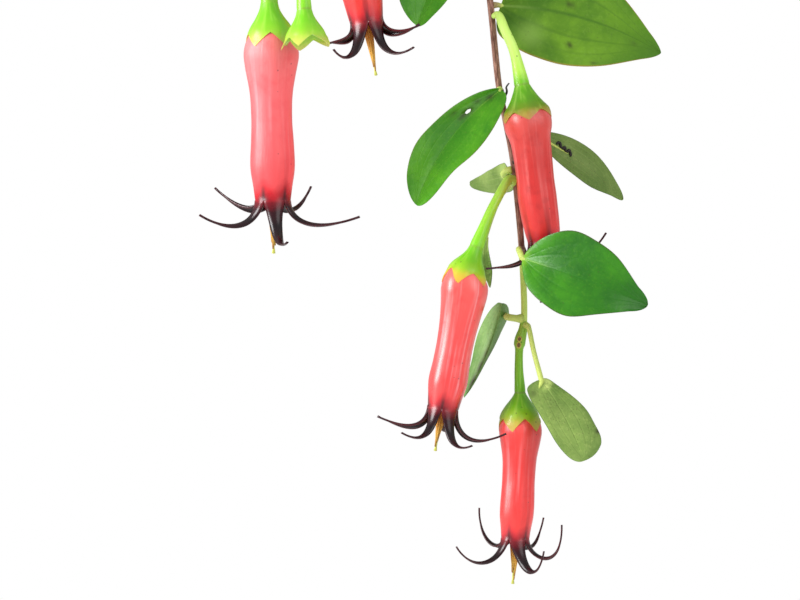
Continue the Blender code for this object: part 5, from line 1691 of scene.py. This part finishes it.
def makeCorolla(name, path, rim, scale, lobes, swells, node, looks, sides=60, lobeRows=30):
    length = path.length - rim
    full = blossom["tubeRadius"] * scale
    start = rim - blossom["tubeFoot"] * scale * unit
    perLobe = sides // 5
    shape = Shape()
    rows = []
    tubeRows = sides * 2 // 3
    for step in range(tubeRows + 1):
        place = start + (path.length - start) * step / tubeRows
        share = (place - rim) / length
        point, _, across, up = path.frame(place)
        row = []
        for index in range(sides):
            turn = 2 * math.pi * index / sides
            crest = math.cos(5 * turn)
            wobble = 1 + 0.012 * noise.noise(Vector((math.cos(turn) * 2, math.sin(turn) * 2, place * 200)))
            outward = aroundAxis(across, up, turn)
            spot = point + outward * tubeRadiusAt(swells, scale, length, place - rim, turn) * wobble
            row.append(shape.addPoint(spot, max(share, 0), index / sides, (crest + 1) / 2))
        rows.append(row)
    shape.addWalls(rows)
    centre, along, across, up = path.frame(path.length)
    throat = rows[-1]
    # Painted shade: a funnel inside the throat, coloured dark maroon, stands in for the shaded hollow of
    # the tube.
    throatShade = []
    for back, share in blossom["throatShade"]:
        point = centre - along * back * scale * unit
        spots = [aroundAxis(across, up, turn) * full * swells[-1] * share
                 for turn in (2 * math.pi * index / sides for index in range(sides))]
        throatShade.append([shape.addPoint(point + spot, 1.06, index / sides, 0.5)
                       for index, spot in enumerate(spots)])
    shape.addWalls(throatShade)
    for number, (azimuth, *pulls) in enumerate(lobes):
        # The axis points down, so a lobe at a greater azimuth stands earlier round the ring.
        middle = (-number * perLobe) % sides
        grid = [[throat[(middle + step - perLobe // 2) % sides] for step in range(perLobe + 1)]]
        turn = 2 * math.pi * middle / sides
        side = along.cross(aroundAxis(across, up, turn))
        start = Vector(shape.points[throat[middle]])
        controls = [start, *(centre + polar(azimuth, reach, rise) * unit for reach, rise in pulls)]
        lead = min((controls[1] - start).length, blossom["lobeLead"])
        controls[1] = controls[1].lerp(start + along * lead, 0.45)
        for step in range(1, lobeRows + 1):
            share = (step / lobeRows) ** 1.25
            point, way = bezierPoint(controls, share)
            side = (side - way * side.dot(way)).normalized()
            normal = side.cross(way)
            half = smoothValue(blossom["lobeWidths"], share) * unit * scale
            curl = smoothValue(blossom["lobeCurls"], share)
            row = []
            for column in range(perLobe + 1):
                u = 2 * column / perLobe - 1
                bow = half * curl * u * u
                spot = point + side * half * math.sin(1.2 * u) / math.sin(1.2) - normal * bow
                row.append(shape.addPoint(spot, 1 + share, (middle / sides + 0.1 * u) % 1, 1 - u * u))
            grid.append(row)
        shape.addWalls(grid, around=False)
    piece = shape.makePiece(name, [finishes[looks]], [node])
    skin = piece.modifiers.new("wall", "SOLIDIFY")
    skin.thickness = blossom["wall"] * scale
    skin.offset = -1


def lobeStart(lobes):
    # The azimuth of the first of five even places that come nearest to the lobes.
    offsets = [(lobe[0] - 72 * number - lobes[0][0] + 180) % 360 - 180 for number, lobe in enumerate(lobes)]
    return lobes[0][0] + sum(offsets) / len(offsets)


def makeStamens(name, path, scale, reach, seed, node=None, anthers=None):
    # Anthers with drawn-out tips in a bundle, and the style that reaches past them.
    rng = random.Random(seed)
    depth = blossom["antherDepth"] * unit * scale
    seat, along, across, up = path.frame(path.length - depth + plant["gap"])
    shape = Shape()
    count = anthers or blossom["anthers"]
    for number in range(count + 1):
        style = number == count
        turn = 2 * math.pi * number / count
        outward = aroundAxis(across, up, turn)
        radius = blossom["antherRadius"] * (0.8 if style else 1.0)
        stand = 0.0 if style else 1.1 * unit
        tip = reach * (1.0 if style else rng.uniform(*blossom["antherTips"]))
        lean = outward * (0.1 if style else rng.uniform(0.1, 0.5)) * unit
        points = [seat + outward * stand, seat + outward * stand * 1.1 + along * depth * 0.6,
                  seat + outward * stand * 0.75 + along * (depth + tip * 0.45),
                  seat + along * (depth + tip) + lean]
        strand = Path(points, hint=across, spanSteps=6)
        stations = []
        for step in range(15):
            share = step / 14
            if style:
                thin = 0.8 + 0.7 * easeIn(share, 0.93, 0.97)
            else:
                thin = mix(1.0, 0.45, easeIn(share, 0.35, 1))
            stations.append((strand.length * share, radius * thin))
        stations += [(strand.length + 0.12 * unit, radius * 0.2)]
        mark = 0.85 if style else 0.0
        shape.addTube(strand, stations, 8, lambda place, mark=mark: mark)
    shape.makePiece(name, [finishes["stamens"]], [node] if node else [])


def flowerPath(stem, radii, stalk, rest, firstAzimuth, direct=False):
    if direct:
        return Path([*stalk, *rest], hint=polar(firstAzimuth))
    seat, away = seatOn(stem, radii, stalk[0])
    return Path([seat, seat + away * 2 * unit, *stalk[1:], *rest], hint=polar(firstAzimuth))


def makeFlower(letter, stem):
    given = flowers[letter]
    node = letter.lower()
    rest = [mm(given["rim"]), *(mm(place) for place in given["tube"])]
    stalk = [mm(place) for place in given["stalk"]]
    first, direct = lobeStart(given["lobes"]), given.get("direct", False)
    path = flowerPath(stem, plant["shownRadii"], stalk, rest, first, direct)
    rim = path.nearest(rest[0])
    scale, swells = given["scale"], given["swells"]
    makeCalyx(f"calyx{letter}", path, rim, path.length - rim, given, swells, f"calyx_{node}")
    makeCorolla(f"corolla{letter}", path, rim, scale, given["lobes"], swells, f"corolla_{node}",
                given["looks"])
    makeStamens(f"stamens{letter}", path, scale, given["stamens"] * unit, ord(letter), f"stamens_{node}")


def makeSpentCup():
    rest = [mm(spentCup["rim"]), mm(spentCup["end"])]
    stalk = [mm(place) for place in spentCup["stalk"]]
    path = flowerPath(leftStem, plant["shownRadii"], stalk, rest, spentCup["azimuth"])
    makeCalyx("spentCalyx", path, path.nearest(rest[0]), spentCup["tubeLength"], spentCup,
              blossom["plainSwells"], "spent_calyx", spread=spentCup["spread"])


for letter in "ABC":
    makeFlower(letter, frontStem)
for letter in "DF":
    makeFlower(letter, leftStem)
makeSpentCup()
print("shown flowers made:", len(flowers))

# Flowers on the free stems: each stem's number with the share of its length where the stalk sits, and how
# far the stalk's elbow, the cup's rim and the throat lie out, sideways and up from there.
freeFlower = {
    "stems": ((1, 0.80), (2, 0.70), (4, 0.68), (6, 0.80), (8, 0.66), (9, 0.66)), "elbow": (9, 0, -4),
    "rim": (17, 1, -25), "throat": (19, 2, -61), "sideways": 3, "stalkBow": 1.5, "firstLobe": (10, 60),
    "lobeReach": (13, 17), "lobeRise": (-6, 1), "scale": (0.94, 1.04),
    "looks": ("corollaPink", "corollaRed"), "sides": 40, "lobeRows": 20, "stamens": 11 * unit,
    "anthers": 7,
}


def makeFreeFlower(number, stem, share):
    rng = random.Random(400 + number)
    point, _, _, _ = stem.frame(stem.length * share)
    out = Vector((point.x, point.y, 0)).normalized()
    sideways = freeFlower["sideways"]
    side = Vector((-out.y, out.x, 0)) * rng.uniform(-sideways, sideways) * unit
    seat, away = seatOn(stem, plant["freeRadii"], point + out * 5 * unit)

    def spot(part):
        reach, aside, rise = freeFlower[part]
        return seat + out * reach * unit + side * aside + Vector((0, 0, rise * unit))

    elbow, rim, throat = spot("elbow"), spot("rim"), spot("throat")
    first = math.degrees(math.atan2(out.y, out.x)) + rng.uniform(*freeFlower["firstLobe"])
    middle = elbow.lerp(rim, 0.5) + out * freeFlower["stalkBow"] * unit
    points = [seat, seat + away * 2 * unit, elbow, middle, rim, rim.lerp(throat, 0.5), throat]
    lobes = []
    for count in range(5):
        reach = rng.uniform(*freeFlower["lobeReach"])
        end = (reach, rng.uniform(*freeFlower["lobeRise"]))
        lobes.append((first + 72 * count, (4.8, -6), (reach * 0.65, -9), end))
    path = Path(points, hint=polar(first))
    place = path.nearest(rim)
    scale = rng.uniform(*freeFlower["scale"])
    swells = blossom["plainSwells"]
    given = {"scale": scale, "tooth": first + 36}
    makeCalyx(f"calyxFree{number}", path, place, path.length - place, given, swells,
              f"calyx_free_{number}", freeFlower["sides"])
    makeCorolla(f"corollaFree{number}", path, place, scale, lobes, swells, f"corolla_free_{number}",
                rng.choice(freeFlower["looks"]), freeFlower["sides"], freeFlower["lobeRows"])
    makeStamens(f"stamensFree{number}", path, scale, freeFlower["stamens"], number,
                anthers=freeFlower["anthers"])


for number, (stem, share) in enumerate(freeFlower["stems"], 1):
    makeFreeFlower(number, freePaths[stem - 1], share)
print("free flowers made:", len(freeFlower["stems"]))


# The floor, lights and camera.

studio = {
    "cameraPlace": (0, -1.05, -0.56), "lens": 150, "floorHeight": -1.5, "floorRadius": 9,
    "world": (0.22, 0.7), "keyPlace": (-0.9, -0.5, -0.3), "keyPower": 14, "keySize": 0.5,
    "fillPlace": (0.7, -1.0, -0.2), "fillPower": 5, "fillSize": 0.8, "aim": (0.01, -0.15, -0.52),
}


def makeFloor():
    material, tree, shader = newFinish("paleFloor")
    patch = noiseValue(tree, objectPlace(tree), 2.0, 2.0)
    pale = ramp(tree, patch, ((0.3, (246, 246, 245)), (0.7, (250, 250, 249))))
    dress(tree, shader, {
        "Base Color": pale, "Emission Color": pale, "Emission Strength": 0.2, "Roughness": 0.85,
    })
    mesh = bpy.data.meshes.new("floor")
    edge = [polar(5 * index, studio["floorRadius"], studio["floorHeight"]) for index in range(72)]
    mesh.from_pydata(edge, [], [tuple(range(72))])
    mesh.materials.append(material)
    floor = bpy.data.objects.new("floor", mesh)
    scene.collection.objects.link(floor)


def makeLight(name, place, power, size):
    light = bpy.data.lights.new(name, "AREA")
    light.energy = power
    light.size = size
    lamp = bpy.data.objects.new(name, light)
    lamp.location = place
    lamp.rotation_euler = (Vector(studio["aim"]) - Vector(place)).to_track_quat("-Z", "Y").to_euler()
    scene.collection.objects.link(lamp)


def makeStudio():
    makeFloor()
    for name in ("key", "fill"):
        makeLight(name, studio[name + "Place"], studio[name + "Power"], studio[name + "Size"])
    world = bpy.data.worlds.new("softbox")
    world.use_nodes = True
    tree = world.node_tree
    backdrop = tree.nodes["Background"]
    seen = put(tree, "ShaderNodeLightPath").outputs["Is Camera Ray"]
    generated = put(tree, "ShaderNodeTexCoord").outputs["Generated"]
    height = put(tree, "ShaderNodeSeparateXYZ", {"Vector": generated}).outputs["Z"]
    glow = remap(tree, height, -0.7, 0.8, *studio["world"])
    feed(tree, backdrop.inputs["Strength"], calc(tree, "MAXIMUM", seen, glow))
    backdrop.inputs["Color"].default_value = (1, 1, 1, 1)
    scene.world = world
    scene.view_settings.view_transform = "Standard"
    lens = bpy.data.cameras.new("camera")
    lens.lens = studio["lens"]
    lens.clip_start = 0.01
    camera = bpy.data.objects.new("camera", lens)
    camera.location = studio["cameraPlace"]
    camera.rotation_euler = (math.radians(90), 0, 0)
    scene.collection.objects.link(camera)
    scene.camera = camera


makeStudio()
print("scene ready")
